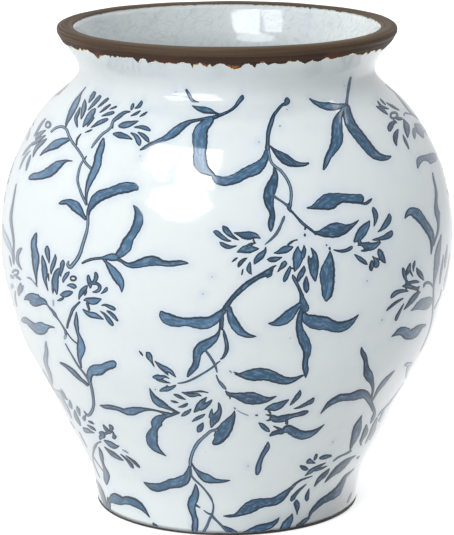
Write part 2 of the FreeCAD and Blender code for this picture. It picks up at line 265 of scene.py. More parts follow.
        ("d", 0, 0, "87.2,302.6,3.6 88.3,306.6,2.8 89.4,310.4,2.2"),
        ("d", 0, 0, "101.3,305.4,.9 104.5,304.9,2.3 108,306,3.4 112,307.9,4.4 115.3,309.6,3"),
        ("b", 0.4, 0, "82.8,309.2,1.3 86.3,312.2,4 90.3,314.4,6 95,315.6,6.3 99,317.3,4 103.7,319.4,.9"),
        ("d", 0, 0, "100.3,311.2,.9 104,313.8,2.5 107,317.5,4 110,321.6,4.8 113,325.4,3"),
        ("d", 0, 0, "106.8,310.8,1.5 110.5,313,3.4 114,316.5,3.8 117.8,321,2"),
        ("b", 0, 0, "79.9,301.8,2 76.2,305.4,2.5 72.8,309.4,3.3 71,314,3 69.2,319,2.8 67.7,324,2.6 66.9,328.4,2"),
    ],
    "spray_left_lower": [
        ("b", 0.4, 0, "24,299.8,1.2 26.8,297.9,6 30,297.4,9.4 33.2,299,12.6 36.2,300.6,13.2 39.2,301.4,10.6 42.2,301.6,7.6 45,302.8,4.8 47.1,304.8,1.4"),
        ("m", 0, 0, "47,304.7,1.4 49.5,308,2 52.5,311.2,2.8 54.6,314.4,3.4 56.2,317,2.2 58.6,320.2,1.4 61.5,324.5,1.5 64.2,329,2 65.7,332.2,3 65.6,335.6,2.2"),
        ("b", 0.4, 0.1, "21.6,320.6,4 23.8,320,7 27,321.2,5.6 30,323.6,6.3 33,326.2,7.7 36,327.4,11.3 39,328.2,13.8 42,328.5,13.8 45,328,10.4 48,326.9,5 51,326.9,2.4 54.6,327.8,1"),
        ("l", 0, 0.4, "65.6,335,2.6 65,337.4,3 64.4,339.4,1"),
        ("b", 0.4, 0, "76.2,311.8,.9 76.2,316,3 76.2,320,4.5 76.1,324,5.1 76.9,328,4.3 77.4,332,3.5 78.9,336,3.7 80,340,6 80.5,344,8.2 81,348,9.3 80.7,352,8.4 79.9,356,6.2 79.6,360,3.8 80.4,364,2.3 81.3,368,1.6"),
        ("d", 0, 0, "66.9,332.6,1.3 69.5,336.5,1.3 73,340.5,1.4 77,343.7,1.4"),
        ("m", 0, 0, "65.2,343.6,1.1 68,349,1.3 71.5,355,1.4 75,361,1.8 78.5,366.6,1.9 82,371,2 85,375,2.2 88,379.5,2.6 89.7,384,3"),
        ("m", 0, 0.4, "45.7,341.3,1.2 45.7,346,2.8 46.2,351,4 45.7,356,4.9 45.4,360,4.8 46.1,365,3.8 47.9,370,3.7 49.8,375,3.5 51,380,3 52,385,1.8"),
        ("l", 0, 0.55, "42.4,369.5,1 45.5,375.5,2 48.5,381.5,2 51.5,387.5,2.6 54.8,392,4"),
        ("b", 0.5, 0, "59.8,362.6,1.8 64,364.9,3.2 68,367.7,4.2 72,371,5 76,375,5 80,379,4 84,382,3.4 88,385.6,3"),
        ("b", 0.7, 0, "90.2,385,3 89.4,380,5 89.6,375.4,7 92,371.6,11 96,370.2,12.2 100,369.8,11.6 103.6,368,9.8 107,366.2,9 110.4,365,9.4 113.4,364.8,9 115.4,365.4,6.8"),
        ("b", 0, 0.1, "90.2,382,3 91.5,388,3 92.6,394,3 93.3,400,3 93.4,405,3.2 92.2,410,3.4 89.4,414.6,3.6 86.6,415,2.4 83.8,411.2,1.3"),
        ("m", 0, 0, "85.2,415.6,1.6 83.8,418,4 84.6,421,1.6"),
        ("l", 0, 0.45, "54.4,391,4 58,393.4,6.4 60.8,397,4.2 63,401.4,3.2 66,406.8,3.4 69,412.6,2.4 71.5,418.6,.9"),
        ("m", 0, 0.2, "60.4,389,.9 62.5,393.5,3 65.4,398.4,2.4 67.6,400.2,1"),
        ("m", 0, 0.2, "69.3,399.8,.9 69.8,404,3.6 70.9,407.2,3 71.9,409.2,.9"),
        ("m", 0, 0.15, "76.4,406,.9 78,410,4 79.1,413.6,2.4 79.8,416.2,.9"),
        ("m", 0, 0.15, "74.2,409.8,.9 74.9,414,3.4 76.4,418,4 78.6,422.2,3.3 80.4,426,.9"),
        ("d", 0, 0, "88,421,1.3 91,422.5,2.8 93.8,424.2,1"),
        ("d", 0, 0, "86.8,424.9,.9 91,427.4,3 94,429.4,2.4 95.7,430.9,.8"),
        ("b", 0, 0.15, "82.8,427.6,1.6 86,430.3,5.4 90,431.8,3.4 94.2,432.9,.8"),
    ],
    "florets_lower_left": [
        ("d", 0, 0, "103,424.8,1.6 105,428,3.4 107.5,431.3,4.6 105.6,434,3.4"),
        ("d", 0, 0, "109.3,425,2.6 111.5,428.2,4.6 110.4,431.3,3.2"),
        ("b", 0, 0, "99.2,432.6,3 102,433.4,5 102.6,436,6.4 100.4,437.6,4.4 100.2,440,1.4"),
        ("d", 0, 0, "106,430.5,3 109,432.6,3.6 112.2,431,2.2"),
        ("d", 0, 0, "112.6,431.6,1.4 113.6,434.8,2.6 114.2,437,5.4 114.6,438.8,3"),
        ("d", 0, 0, "103.8,440.2,1.3 107.7,442.5,4.4 111.6,445,6 115.2,446.7,4.8 119,446.2,1.3"),
        ("d", 0, 0, "104.2,446.8,.9 108,450.4,3 112,453.6,5 116,456.4,4.6 120,458.9,3 123.3,460.6,1"),
        ("d", 0, 0, "120.2,454.1,.9 125,458,2.4 128.5,461.5,3.2 131.4,465.4,3.8 133.2,468.3,1.6"),
        ("d", 0, 0, "125.8,455.6,.9 130.5,459,2 134.5,462.4,3 138,466,2.8 139.9,467.8,1"),
        ("m", 0, 0.3, "122.2,449.8,.7 125.5,451.4,1.4 128.3,453.2,.8"),
        ("m", 0, 0.25, "100.9,441.8,1.8 97.6,443,2 95,446.2,3 93.4,451,2 92.7,456,1.6 93.4,462,1 96,469.4,1 99.6,477.6,.9"),
        ("m", 0, 0.3, "93,456.2,1 97,463,1 101,468.4,1 103.8,472.4,1"),
        ("b", 0, 0, "98.5,447.2,.9 100.3,452,3.2 101.4,457,4 102.4,462,2.6 103.8,466.6,2.7 105.3,471.2,4.8 106.4,476,6.7 106.4,480.4,5.3 106.6,485,1.2"),
        ("l", 0, 0.6, "70,421.6,.9 72,425.2,1.2 74.4,428.4,.9"),
        ("l", 0, 0.5, "79,431.8,.9 82.6,439.4,1.2 86.8,447.4,.9"),
        ("b", 0, 0.15, "94.8,477.6,.9 98,484,2.5 100.6,490,4 102.7,496,4.6 104.6,502,3.4 106.6,507.6,1.6"),
        ("b", 0.3, 0, "107.2,497,1 108,501.4,3.6 109,506,3.4 109.6,510,1.8"),
        ("b", -0.6, 0, "108.4,500.6,5 110.6,500,7.6 113.6,498.4,11.4 117.6,499.6,10.8 121.6,500.8,9 126.6,500.3,9 131.6,501.3,9 136.6,503.8,8.6 141.2,507,6.6 145.3,511.4,3.8 149.7,517.4,.9"),
        ("d", 0, 0, "152.9,522.8,1.4 154.8,525.6,4.2 157,527.6,3.6 158.9,529,1.4"),
    ],
    "spray_left_centre": [
        ("b", 0.7, 0, "133.6,205.4,1.6 136.4,209.4,5 138.4,215,8.8 138.4,221,10.4 136.4,227,10.2 133.4,232.6,9.4 130,237.6,9.6 127.4,242.4,11.8 125.6,247.2,12.4 122,251.8,10 117.6,255.6,8"),
        ("b", -0.6, 0, "117.4,258.6,4.6 121.8,261.2,3.6 127,264.4,4.6 133,265,7 139,263.6,9 145,261.8,10.4 151,260.8,11 156.6,261.2,9.8 162,262.8,6.8 168,263.6,6.4 174,263.4,6.4 180,262.6,5.6 184.6,262.8,3.8 188.4,263.4,1"),
        ("b", 0.4, 0, "82,263.4,2 86.4,261,2.8 92,259.2,3 98,258.4,2.8 103,258,3.6 108,257.4,6.6 113,257.2,8.4 117.5,257.6,7"),
        ("b", 0.6, 0, "103.6,258.8,3.4 106.4,262.4,3.4 109.6,266.6,6.4 113,271,8.8 116.4,275.8,10 119.4,280.6,9.4 121.4,285,6.6 121.8,288.8,3.6 121.8,292.4,1"),
    ],
    "spray_upper_centre": [
        ("d", 0, 0, "186,89.4,2.2 188.8,94.2,3.4 191,98.4,3.4 193.6,101,2.8 199,102.2,.9"),
        ("b", 0.4, 0, "192.3,105.7,1.2 197,108,4.3 204,110,7.3 210,111.2,6 215,113,3 219,114.4,2.4"),
        ("b", 0.5, 0, "216.4,116.6,3.4 220,115.2,3.8 224,113.6,3.4 229.5,111,3 235,106.8,3.4 238.6,102,4.4 241.6,98,5.2 242.6,95.2,2.6"),
        ("b", -0.5, 0, "218,116.2,4.2 213,117.6,4.4 208,118.3,4.2 203,119,3.4 198,120,3.4 193.4,120.9,3.8 189,122.2,5 181,127,8 174,132.8,9.4 166,138,6.6 157,141.4,4 150,144.4,3.6 144,148,3.4 139.9,150,1.2"),
        ("b", -0.5, 0, "212.6,117.4,5 209.5,120.6,9.6 204.6,125.4,11.8 200.8,131.4,15.2 199.9,138,16.4 200.1,145,15.2 199.8,151.4,13.4 199.6,157.4,14.2 200.8,163.6,14.6 203.8,168.6,11.8 208.4,172,7.6 214.2,175.2,3.4"),
        ("b", 0.4, 0, "211.8,174.8,2 215.8,178.6,7.6 220.6,180.9,9.6 226,181.2,10 231,180,10.4 236,178.4,11 241,175.6,11.2 246,172.8,11.6 251,170.8,12.6 255.6,168.8,13 260,165.4,11.2 263.2,161.6,9 265.6,157,7.6 267,150.4,5.4"),
        ("b", 0.4, 0, "286.8,97.8,3 287,101,6.8 285.6,103.6,4.4 281.8,105.2,3.2 277.4,110.2,3.2 273.6,115.6,3.8 271.2,122.6,4.8 269.4,128,4.8 268.1,134.2,4.4 267.7,141,4 267.3,150,5.6"),
        ("b", 0.4, 0, "269.8,145.6,1.6 274,150.2,4 279,154.6,8 285,159,10.8 291,162.5,9 297.6,164.3,5.6 304,164.4,3.9 308.9,163.1,2"),
        ("o", 0, 0, "268.2,150,3.4 269.4,156,3 271.2,162,2.8 275.2,166.6,2.9 279.7,169.8,3 283,173.4,3 286,177.6,3 289,183.4,3 290.8,189.4,3 291.2,196,3.2 290.6,202,3.2 289.6,207.6,4"),
        ("b", 0.5, 0, "273.7,166.8,1.6 275,173.6,5.8 273.9,180,9.2 271.3,187,12 269,194,12 268.8,200,11 269.7,205.6,8.6 271.6,211,6.3 272.3,216,6.4 271.2,222,7 270.8,228,5.2 270.7,231.7,1.2"),
        ("m", 0, 0, "272.8,195.4,3 277,198.4,2.4 281,201,2.2 285,203.8,2.4 288.4,206.4,3.4"),
        ("b", 0, 0, "289.2,203.6,3.6 289,207.4,5 290.2,210.4,3 292.6,212.4,2.3 296,216.2,2.1 300,220.7,2.9 304,224.6,3.2 308.5,227.9,2.8 312.5,231,2.6 316.4,234.6,2.2"),
    ],
    "spray_upper_right": [
        ("m", 0, 0, "351,77,2 349.8,82,2.8 348.8,88,3 347.7,94,2.8 347,99,2.8 346.6,103,3.6"),
        ("b", 0.2, 0, "309.3,98.4,1.2 314,101.9,3.8 321,105,6.4 329,106.5,8.8 336,106.8,7 343,106,5.6 348,105.4,5"),
        ("b", 0.6, 0, "346,104.6,6 344.4,108,5.2 341.6,112,5 338.6,117.4,8.4 337.2,123.6,11 337,131,12 337.1,137.6,12.8 335.8,143.6,12 332.4,150.4,9.2 328.2,157,7 325.6,164,5.4 323.4,169.9,2"),
        ("b", -0.5, 0, "346.6,105.6,6.4 347.2,111,8.6 348,117,10.4 350.2,123,11.2 353.8,129.2,11.5 358.8,135.6,11.5 362.6,140.6,11.2 366.6,145.4,11 371.8,151.6,10.4 376.6,155.6,9.2 381.4,157.4,7.4 386.2,157.8,5.6 390.9,156.3,2"),
    ],
    "florets_upper_right": [
        ("d", 0, 0, "380.2,98.6,1 383,101.8,2 386,105,1"),
        ("d", 0, 0, "377.8,101,1.2 381.4,106,3 385.4,107.8,2.6 389,109,1"),
        ("d", 0, 0, "376.4,106,1.2 380.4,108.2,3.8 384.4,111.4,3.4 388,114.6,1.2"),
        ("d", 0, 0, "386.4,102.6,.9 391.6,105.6,2.6 395.4,108,2.4 399.6,110.3,.9"),
        ("m", 0, 0, "390.6,115.6,2.2 392.2,112.9,2.6 396,112.8,2.6 397.6,115.4,2.4 395.8,117.8,2.4 392,117.8,2.4 390.6,115.8,2.2"),
        ("d", 0, 0, "395.6,118.2,1.6 399.2,118.6,3.9 402.9,118.8,2"),
        ("d", 0, 0, "393.2,119.4,1 395.2,121.2,2 397.2,123,1"),
        ("b", 0, 0, "396.7,121.8,1.4 392.4,123.6,5.2 390.2,127.4,5.8 389.5,131.2,3"),
        ("b", 0, 0, "398.2,129.2,1.4 396,134,5.2 395.5,140,4.7 396.7,145.8,1.2"),
        ("b", 0, 0, "403.8,119.2,1.2 406.4,125.6,6.3 407.5,131.6,5.4 408.1,138,.9"),
        ("m", 0, 0, "403.2,134.8,1 405.4,140.4,3 407.4,145,2.4 409,149.2,.9"),
        ("m", 0, 0.25, "385.7,84.8,1 390.4,88.8,1.4 395,92.8,1.6 400,98.8,1.7 405,105,1.8 409,110.2,1.6 412.7,114.4,1.4 416.6,117.8,1.4 420.5,121.4,1"),
        ("m", 0, 0.2, "404.1,116,1 405.6,113,1.9 411.2,114.4,1.4"),
        ("m", 0, 0.2, "415.2,123.8,3 418.6,127,7 421,131,8.4 422.4,134.8,4.8 424,138,1.2"),
        ("m", 0, 0.2, "414.4,128,3 414.6,133.6,4 415,139.2,1"),
        ("m", 0, 0.15, "417.9,168.4,1.2 418.6,163.6,4.4 420.2,159.6,6.8 423.8,158,5.8 427.4,157.8,7.4 430.6,158,11 433.6,158.8,12.4 436.2,160.2,6"),
        ("m", 0, 0.1, "433,172.6,1.2 434,179.6,2 435.8,187,2.2 436.5,194,2.9 436.3,201,3.2 436.4,207.6,4.4 437.5,213.6,5.6 438.2,219,3.8 438.7,225,2.6 438,232,2.2 435.8,239,2 433.8,245.6,1.8"),
    ],
    "florets_centre": [
        ("d", 0, 0, "213.7,231.3,2.6 216.5,232.5,5.3 220,235.5,5.3 224,238.4,4.4 228,240.5,2.8 231.3,241,.9"),
        ("b", 0, 0, "223,226,2.4 225.2,229,6.2 228,232.4,6.2 231,235.3,4.8 234.5,237.8,3.2 238.9,240.1,1"),
        ("b", 0, 0, "219.6,242.1,1.2 222.5,244.3,4.3 226.5,246.4,4.9 231,247,3.3 236.7,245.7,.9"),
        ("b", 0.7, 0, "233.8,232.6,.9 239,234,4.4 244,235.3,8 249,235.6,9 253.5,235.5,7.2 257,236.4,4.6 260.5,238.6,.9"),
        ("d", 0, 0, "253.2,239.4,2 254.2,241.6,1.6 255.8,243.4,1"),
        ("b", 0.3, 0, "237,252.2,1.2 241,250.5,5.3 245.5,249.3,8.6 250,248.9,9 254,249,5.6 258.9,248.7,1.2"),
        ("d", 0, 0, "246.5,246.2,3 251.3,244,3 255.7,242.9,.9"),
        ("b", -0.3, 0, "265.8,246.7,.8 265,250.6,3.4 261.7,254.8,7 258.1,258.4,7 255.6,261.4,4.8 254.2,264.2,1.4"),
        ("d", 0, 0, "237.6,257.6,1.2 234.9,259.4,2.4 231.8,262,.8"),
        ("d", 0, 0, "247.2,257.9,.9 244,259.7,3.4 240.9,262.4,4.5 238.9,265.3,3.6 238.2,267.3,1.2"),
        ("d", 0, 0, "250,262,1.2 249.4,265.5,4 248.8,269,5.4 250,272.3,3.6 251.6,274.4,.9"),
        ("d", 0, 0, "243.1,268.6,.8 242.4,271.8,1.8 241.7,274.9,1.2"),
        ("m", 0, 0, "284.5,216,1.6 283.3,219,3 281.2,224,2.6 279,229,3.1 276,234,3.2 272,238.4,2.6 268.5,241.5,2 264.8,244.5,.9"),
        ("b", 0.3, 0, "273.8,253,1 278,252.3,3.8 282.5,250.5,7 287,248.9,7.5 290.5,247.8,4.6 293.2,246.7,1"),
        ("d", 0, 0, "287.6,245,2.2 291.3,242.1,2.4 294.5,240.4,1.3 297.4,239.8,1.6"),
        ("b", 0, 0, "267,259.4,1.2 270,259.6,5 274,259.4,6 278,258.5,4 282.1,257.1,.9"),
        ("d", 0, 0, "277.5,272,.9 280,268.8,3 282.6,265.8,5.4 284.6,262.8,5.8 284.7,260.7,1.6"),
        ("b", 0, 0, "290.2,266,1.2 289.4,269,4 287.4,273.5,5 285.4,278,5 283.8,281.6,2.4"),
        ("b", 0.3, 0, "297.9,246.2,1.2 297.5,250,5.4 297.7,254.2,10 297.6,258.6,11 297,263,9 295.8,267.2,5.8 294.4,271.6,1.2"),
        ("b", 0, 0, "303.8,245,.9 304.2,249.5,4 302.9,254,6 301,258,6"),
        ("d", 0, 0, "290,267.8,1.4 294,268.6,2"),
        ("b", 0, 0, "303.9,265.7,1.2 303.4,269.5,5 301.4,273.5,6 299,277.6,5 297.8,281.4,2.6"),
        ("d", 0, 0, "292.4,274.6,1.2 293.9,278,4 296,282.2,3.7 298.6,287.4,3.4 300.7,292.6,3.8 302,297.4,4.6 303,302,6"),
        ("d", 0, 0, "306.3,276,.9 306,280,4.5 306,284.5,6.5 306.3,289,6 306.3,292.6,2.4"),
        ("b", -0.3, 0, "310.8,247.6,.9 313.4,252,4 315,256.5,6 313.8,262,10.6 313.6,268,10.5 314,273.5,8.2 314.7,278,5 315.2,281.3,1.6"),
        ("b", 0, 0, "308.6,255.7,1.3 309.3,260,4 310.4,265,5"),
        ("b", -0.75, 0, "330,250.4,.9 329.9,256,5.6 329.1,263,11 327.8,270,15 327.1,277,15.8 327.6,284,14.2 327.4,290,12.6 326.8,295.6,10.4 326,301.2,2.6"),
        ("d", 0, 0, "305.2,227.2,2 305,229.6,2"),
        ("d", 0, 0, "304.8,233.8,2 304.8,236.2,2"),
        ("d", 0, 0, "326,244.6,1.4 326.8,245.6,1.4"),
        ("d", 0, 0, "329.5,247.4,2.2 329.6,249.6,2.2"),
    ],
    "spray_right_middle": [
        ("b", 0.7, 0, "307,207.8,1.8 311.5,207.5,3.6 316,206,8 321,204,13 326,202.3,17 331,201,17.6 337,198.9,13 343,198.1,10 350,198.5,9.8 356,198.9,10.2 361.8,199,10.8"),
        ("d", 0, 0, "360.6,203.6,1.6 366,203.3,3.4 369.2,201,3.4 371.8,198.5,1.3"),
        ("b", 0.5, 0, "313.8,231.6,1.4 318,232.9,4.8 323,232.6,9.3 328.5,231.5,13.3 334,230.3,16 340,229.5,14.4 345.5,228.6,9.8 351,226,5.2 355,223.2,3 358.7,219.9,.9"),
        ("b", 0, 0, "372.9,207.2,1.6 374,210.4,4.9 375.5,215,5.5 375.4,220,4 373.9,226.4,.9"),
        ("b", 0, 0, "389.1,213.8,2 389.1,217.8,5.5 387.1,222.4,6.4 384.1,226.4,5.4 381,229.6,3.1 377.7,232,.9"),
        ("b", 0, 0, "391.8,230.8,2.4 390.1,234,6.5 386,236.8,6 381,238.4,4.2 376,239.4,3 372.2,239.9,.9"),
        ("b", 0.4, 0, "369.6,220.6,1.2 367,225,6.4 363.6,229.5,9.6 360.6,234,10 357.6,238,7.6 354,241.8,2.6"),
        ("d", 0, 0, "358.2,239.4,3 359.6,242.4,4.4 359.6,245.6,2"),
        ("b", 0, 0, "357.4,245.4,.9 362,244.4,4 366.6,246,9 371,246.5,8.6 375.5,244.9,6 380.3,241.8,2.6"),
        ("d", 0, 0, "368,249,4 364,250.4,3 360.8,250.9,.9"),
        ("b", 0, 0, "333.3,249.7,.9 338,250.8,2.4 343,251,3.7 347.5,249.8,3.8 351,247.6,3.8 352.2,246,1.2"),
        ("b", 0, 0, "354.3,254.3,.9 358,257.3,4 361.5,260,5 365,262.6,4 367.3,264.7,1.2"),
        ("d", 0, 0, "371.9,260.6,2.6 371.5,265,5 371,269,4.2 371.3,271,1.6"),
        ("b", 0, 0, "372.2,256.2,.9 374.8,259,3.5 376.5,263,6.5 375.6,267,4.6"),
        ("b", 0, 0, "378.8,249.2,3 380,252.5,6 381.6,257,6.5 383.6,260.7,4.6 385.3,263,1.6"),
        ("d", 0, 0, "376,258.6,2.4 379.4,259.8,2.4"),
        ("b", 0.4, 0, "404.8,218.5,1 407.7,213.9,5.5 411.4,211.9,9.4 415.9,213.3,11.2 420,217.7,10 424,223,8.6 427.8,228.5,8.6 430.8,234.2,7.4 432,240.2,5 432,246.4,3 431.2,254.4,.9"),
    ],
    "spray_far_right": [
        ("m", 0, 0.15, "441.5,234.4,.9 440.5,240,2.6 438.9,247,5 437.6,255,6 436.9,263,6 436,270,5 435,277,3.4 434,284.6,2"),
        ("m", 0, 0.35, "443.7,255,.9 443,262,1.8 441.8,270,2.5 440.8,277,2 440,284,1.2"),
        ("m", 0, 0.4, "447.6,244.6,.9 447,252,2 445.9,260,2.5 445,268.6,1"),
        ("l", 0, 0.5, "450.2,253.6,.8 449.3,262,1.4 448,270,1.8 446,280,2.8 444.2,291,1.2"),
        ("l", 0, 0.5, "448.6,192,1 450,196,1.6 451.6,201,1.2"),
        ("b", 0, 0, "403,267.9,2.2 403.8,272,4 404.8,276.5,4 406.4,281.4,2"),
        ("d", 0, 0, "410.4,263,1.2 409.3,267,4 408,271,4.6 406.4,274.8,2.8"),
        ("d", 0, 0, "409.8,269.6,2 411.3,273.4,2 413,276.7,.9"),
        ("b", 0, 0, "414.9,260.6,1 414.1,264.5,3 413.4,268,2 413.5,271.7,.8"),
        ("b", 0, 0, "416.6,267.7,1 418.4,271.4,4.5 420.5,275,5.5 422.4,278.2,3 423.8,280.5,.8"),
        ("b", 0, 0, "405.8,283.6,2 409,283,3.5 413,281.9,3.5 417,281.7,3.1 419.3,282.3,1.6"),
        ("d", 0, 0, "406.8,280,2.4 406.6,284,3 406.2,290,1.6"),
        ("d", 0, 0, "402.2,286.3,.9 406,286,4.5 410,286.8,4.6 414,288,4.2 417.5,288.6,3.6 419.6,286.2,1.2"),
        ("d", 0, 0, "417.6,288.4,2.6 418,291.6,2.6"),
        ("d", 0, 0, "420.5,291.7,.9 417.6,293.6,4 414,297.6,5.6 410.5,302,5 407,306.2,3 403.7,309.9,.9"),
        ("b", 0, 0, "408.3,291.1,1.6 404,290.8,3.4 399,291.5,4.5 395,293.5,5 392.5,296,4 390.7,298.2,1.2"),
        ("d", 0, 0, "403.3,298.3,1.2 399.5,300.3,2.5 395,303.1,3 391,306.4,2.8 388,309.1,2 386.5,311.1,.8"),
        ("b", 0, 0, "403.9,303.5,.9 401.8,307.5,2 399.4,312,2.8 397.1,316.5,3.5 395.6,320.5,2.6"),
        ("m", 0, 0.1, "410.8,310.8,.8 415,308.3,4 418.8,306.1,8.4 422.5,304.8,12.3 426.5,303,11.7 430,301,9.4 433.6,301.6,5"),
        ("m", 0, 0.15, "423.6,287.3,1.2 424.9,284,2.6 428,282.5,2.8 431,283.9,2.2 434.2,288.6,1.2"),
        ("m", 0, 0.3, "434.4,278,1.6 433.8,288,1.7 433.7,297,1.9 433.5,305,2 433.1,312,1.8 432.2,319,1.5 430.5,327,1.3 427.5,336,1.3 423.7,345,1.2 420.3,351.5,.9"),
        ("l", 0, 0.4, "441.8,289.6,.9 440.4,297,1.3 437,304,1.4 434.8,309,1"),
        ("b", 0.3, 0, "391.5,336.7,.8 395.5,334.2,3.6 399.5,332,8 403.5,331.8,11 407.5,333.8,12.4 411.5,334.4,10.5 415.5,331.7,9.3 419,328.2,7 422.5,326,4.6 426.3,324.9,1.6"),
        ("l", 0, 0.3, "404.6,366,1 406.8,364.9,3.8 409.6,364.4,5 412.4,362.4,1.6"),
        ("l", 0, 0.4, "408.7,366,3 407.3,371.4,2.4 406,378.6,1.4"),
        ("m", 0, 0.35, "404.2,382.6,.9 399,390,1 393,398.5,1.2 387,406,1.5 381.4,411.6,1.6 378,416.4,1.3"),
        ("l", 0, 0.4, "385.2,407.6,.8 382,415,2.4 379.4,421.4,3"),
    ],
    "spray_lower_right": [
        ("b", 0.3, 0, "361.5,347.2,1.2 362.1,351.4,4.2 363.9,355.5,5.8 365.4,360,4.8 366,365,5.2 366.8,370,7.6 368.2,374.6,10 370,378.8,8.4 372,383,5 373,388,3.2 372.4,394,2.2 371.2,399,3"),
        ("b", -0.6, 0, "320.5,413.7,.9 324.5,408.6,3 329,403.9,5.4 334.5,400.4,6.6 341,397.6,8 347.5,397.1,8 353.5,396.3,9 359,394.4,10 364,393.9,9.5 367.4,396.8,8 370,401.6,6 372.4,406.8,4.6 374.2,411.4,4.2"),
        ("m", 0, 0, "394.7,370.5,.9 389.5,376,3.4 385,381,4.5 381,386,4.5 377.5,391,3.4 375,396,2.2 372.6,400.6,1.6"),
        ("m", 0, 0, "374.6,411,3 374.4,414.6,3.4 372.8,418.6,3.6 371.4,421.8,1.8 370.4,423.5,.9"),
        ("m", 0, 0.15, "377.3,417.6,1.6 375.2,423.4,4 373.2,429,5 370.6,434.8,4 367.4,440,2.2 365.3,443.6,.9"),
        ("l", 0, 0.3, "376,428,1 373.6,433.4,1.2 370,440,1"),
        ("b", 0.3, 0, "362,415.2,.8 360.3,419.6,3.5 358.4,425,7.6 356.9,430,9 355.3,435,8 353.5,440,6 351.6,445,3.8 350.2,449.8,1.4"),
        ("d", 0, 0, "366.6,424.7,1.6 366.3,429,4.5 365,433,5.4 363.1,437,4 361.1,441,3 361.1,445.6,1.6"),
        ("m", 0, 0, "351.4,450.6,2 347,453.4,2.1 342,455.6,1.8 338,457.6,2 333.2,461.4,1.2"),
        ("b", -0.5, 0, "268.3,323.4,1.2 273.5,323.5,5 279,321.8,9 284.5,319,11.3 289,315,11.4 293,311,9 297,307,6.4 301,303.4,4.6"),
        ("d", 0, 0, "301.4,293.6,4.2 302,298,5.4 302.9,302.6,8 304.4,307,9.4 305.4,311,8"),
        ("b", -0.6, 0, "303.6,312.6,4 306,317.6,10 311,320.8,14 318,322.6,15 325,323.1,14.3 332,325.8,12.6 338,327,11.6 344,325.8,10.4 349.5,323,7.5 354,319.4,4.3 358.6,314.5,.9"),
        ("b", 0.6, 0, "301.6,308.4,3 300.1,315,5.6 299.1,322,6.6 299.5,329,8 301.5,335,10.3 304,341,11.8 306.3,347,10.6 306.8,353,8.2 305.5,359,6 305,365,6.4 305.7,371,6 305.4,377.7,1.2"),
        ("b", 0.4, 0, "234.6,373.9,.9 240,374.8,4.5 246,375,9.4 253,374.8,12.8 260,374.2,13.2 266.5,374.6,12.5 272.5,376.5,11.8 278.5,378.8,10.3 284.5,380.5,8.6 290.5,380.3,6.6 296.5,378.4,4 301,376.2,2.4 304.9,374.6,.9"),
        ("l", 0, 0.4, "229.4,370.6,1.4 231.6,372.6,1.2"),
        ("d", 0, 0, "233.4,371.9,.9 237.6,373.3,1.6"),
        ("b", 0.4, 0, "225.4,390.7,.9 228.5,394,4.4 233,395,5 239,396.3,8.3 245.5,397.8,12 251.5,398.2,13.5 257.5,399,11.6 263.5,399.6,8 269.5,398.9,4.2 276.4,396.1,.9"),
        ("d", 0, 0, "229.8,394.6,3 230.1,399,1"),
        ("b", 0.2, 0, "267.9,441.9,1.6 267.6,445.8,5.2 265.6,450,5.6 262.5,455,5 260.4,460,5 258.8,465,6 258,470,6.3 256.7,474.4,3.4"),
    ],
    "spray_centre": [
        ("b", 0.6, 0, "276.3,265.3,1 272.6,267.4,3 270,270.8,6.4 265,273.8,6.4 259,276.6,5.2 253,280.2,5.6 247,284.2,6 241,289.4,6 236,294.2,5.6 232,298.4,5.2 228.6,303,5.4 226,307,6 223.4,311,5"),
        ("d", 0, 0, "270.6,271,4 270.4,274.6,3.6 266.6,277,3"),
        ("b", -0.5, 0, "225,308.6,6 229,308.4,6 229.8,312.4,6.6 231,317,8.6 233.5,322,10 236.5,327,10 240.5,331.5,8.6 245.5,334.5,6.2 250.5,336,4 256.3,336.3,.9"),
        ("b", -0.65, 0, "161,311.4,3.4 162.8,314.8,8.6 166,317.6,11.6 170,319.7,12.6 175,321.2,11.8 180,321.8,10.5 186,321.7,8.9 191,322.1,10.3 197,322.6,12.6 203,322.9,13.3 208,322.4,12.4 213,320.2,11 217,316.8,9.4 220.6,313.6,7.6 224.6,310,6"),
        ("d", 0, 0, "222.3,311,4 222.1,316,4 222,321,4 221.9,326,3.4 222.2,330,2.2"),
        ("b", 0.5, 0, "219.6,320,1.6 219.9,326,1.8 219.2,331,2.6 217,335.6,5 213.3,339.6,8 208,343.3,10.2 202.6,346.4,11.6 198.4,350.7,10.8 196.9,355.6,9 196.5,361,7.6 195,366,7.4 191.9,370,6.4 189.3,373.6,4.8 187.4,377,1.6"),
        ("b", -0.3, 0, "223.4,329.6,1.4 224.6,335,3.4 225.9,340,4 226.8,345,4.4 226.6,350,4.4 225,354.2,3.5 222.6,357.8,2.4 220.2,359.3,.9"),
        ("m", 0, 0, "205.6,350.6,2.4 209,355,2.6 212,359.6,2.6 214.5,364,2.9 216,368,2.3 217.1,372.3,1.2"),
        ("m", 0, 0, "177.6,383.4,.9 183,382.6,1.8 189,380.8,2.1 195,378,2.3 201,374.6,1.9 207,371,1.9 212,367.6,2 216,364,1.9 220.3,360.8,1"),
        ("m", 0, 0, "216.3,375,1.4 218.2,380,2 221,383.6,3.3 224,387.1,3.3 226.2,389.4,1.2"),
    ],
    "florets_lower_centre": [
        ("d", 0, 0, "139.1,350.8,.8 141.3,353.5,2.2 143,355.9,.8"),
        ("b", 0.2, 0, "146.3,352.2,1.6 148,354,5.8 149.6,357,6.4 151,360,4 152.5,363.2,2 154.5,367,.8"),
        ("b", 0.4, 0, "154.7,361,.8 158.5,364.3,3.5 162,367.3,5.6 166,369.5,6.4 170,371.1,4.6 173,373.9,3.5 175.9,377.2,.8"),
        ("d", 0, 0, "163,369.2,3 166,372.4,2.9 168.5,375.3,.8"),
        ("b", -0.4, 0, "152.9,377,2.4 157,377,5.5 161,377.5,5.4 165,376.5,2.5 169.3,378.5,.9"),
        ("d", 0, 0, "156.5,379.4,2 162,380.8,3.4 166,382,2.4 170.3,383,.8"),
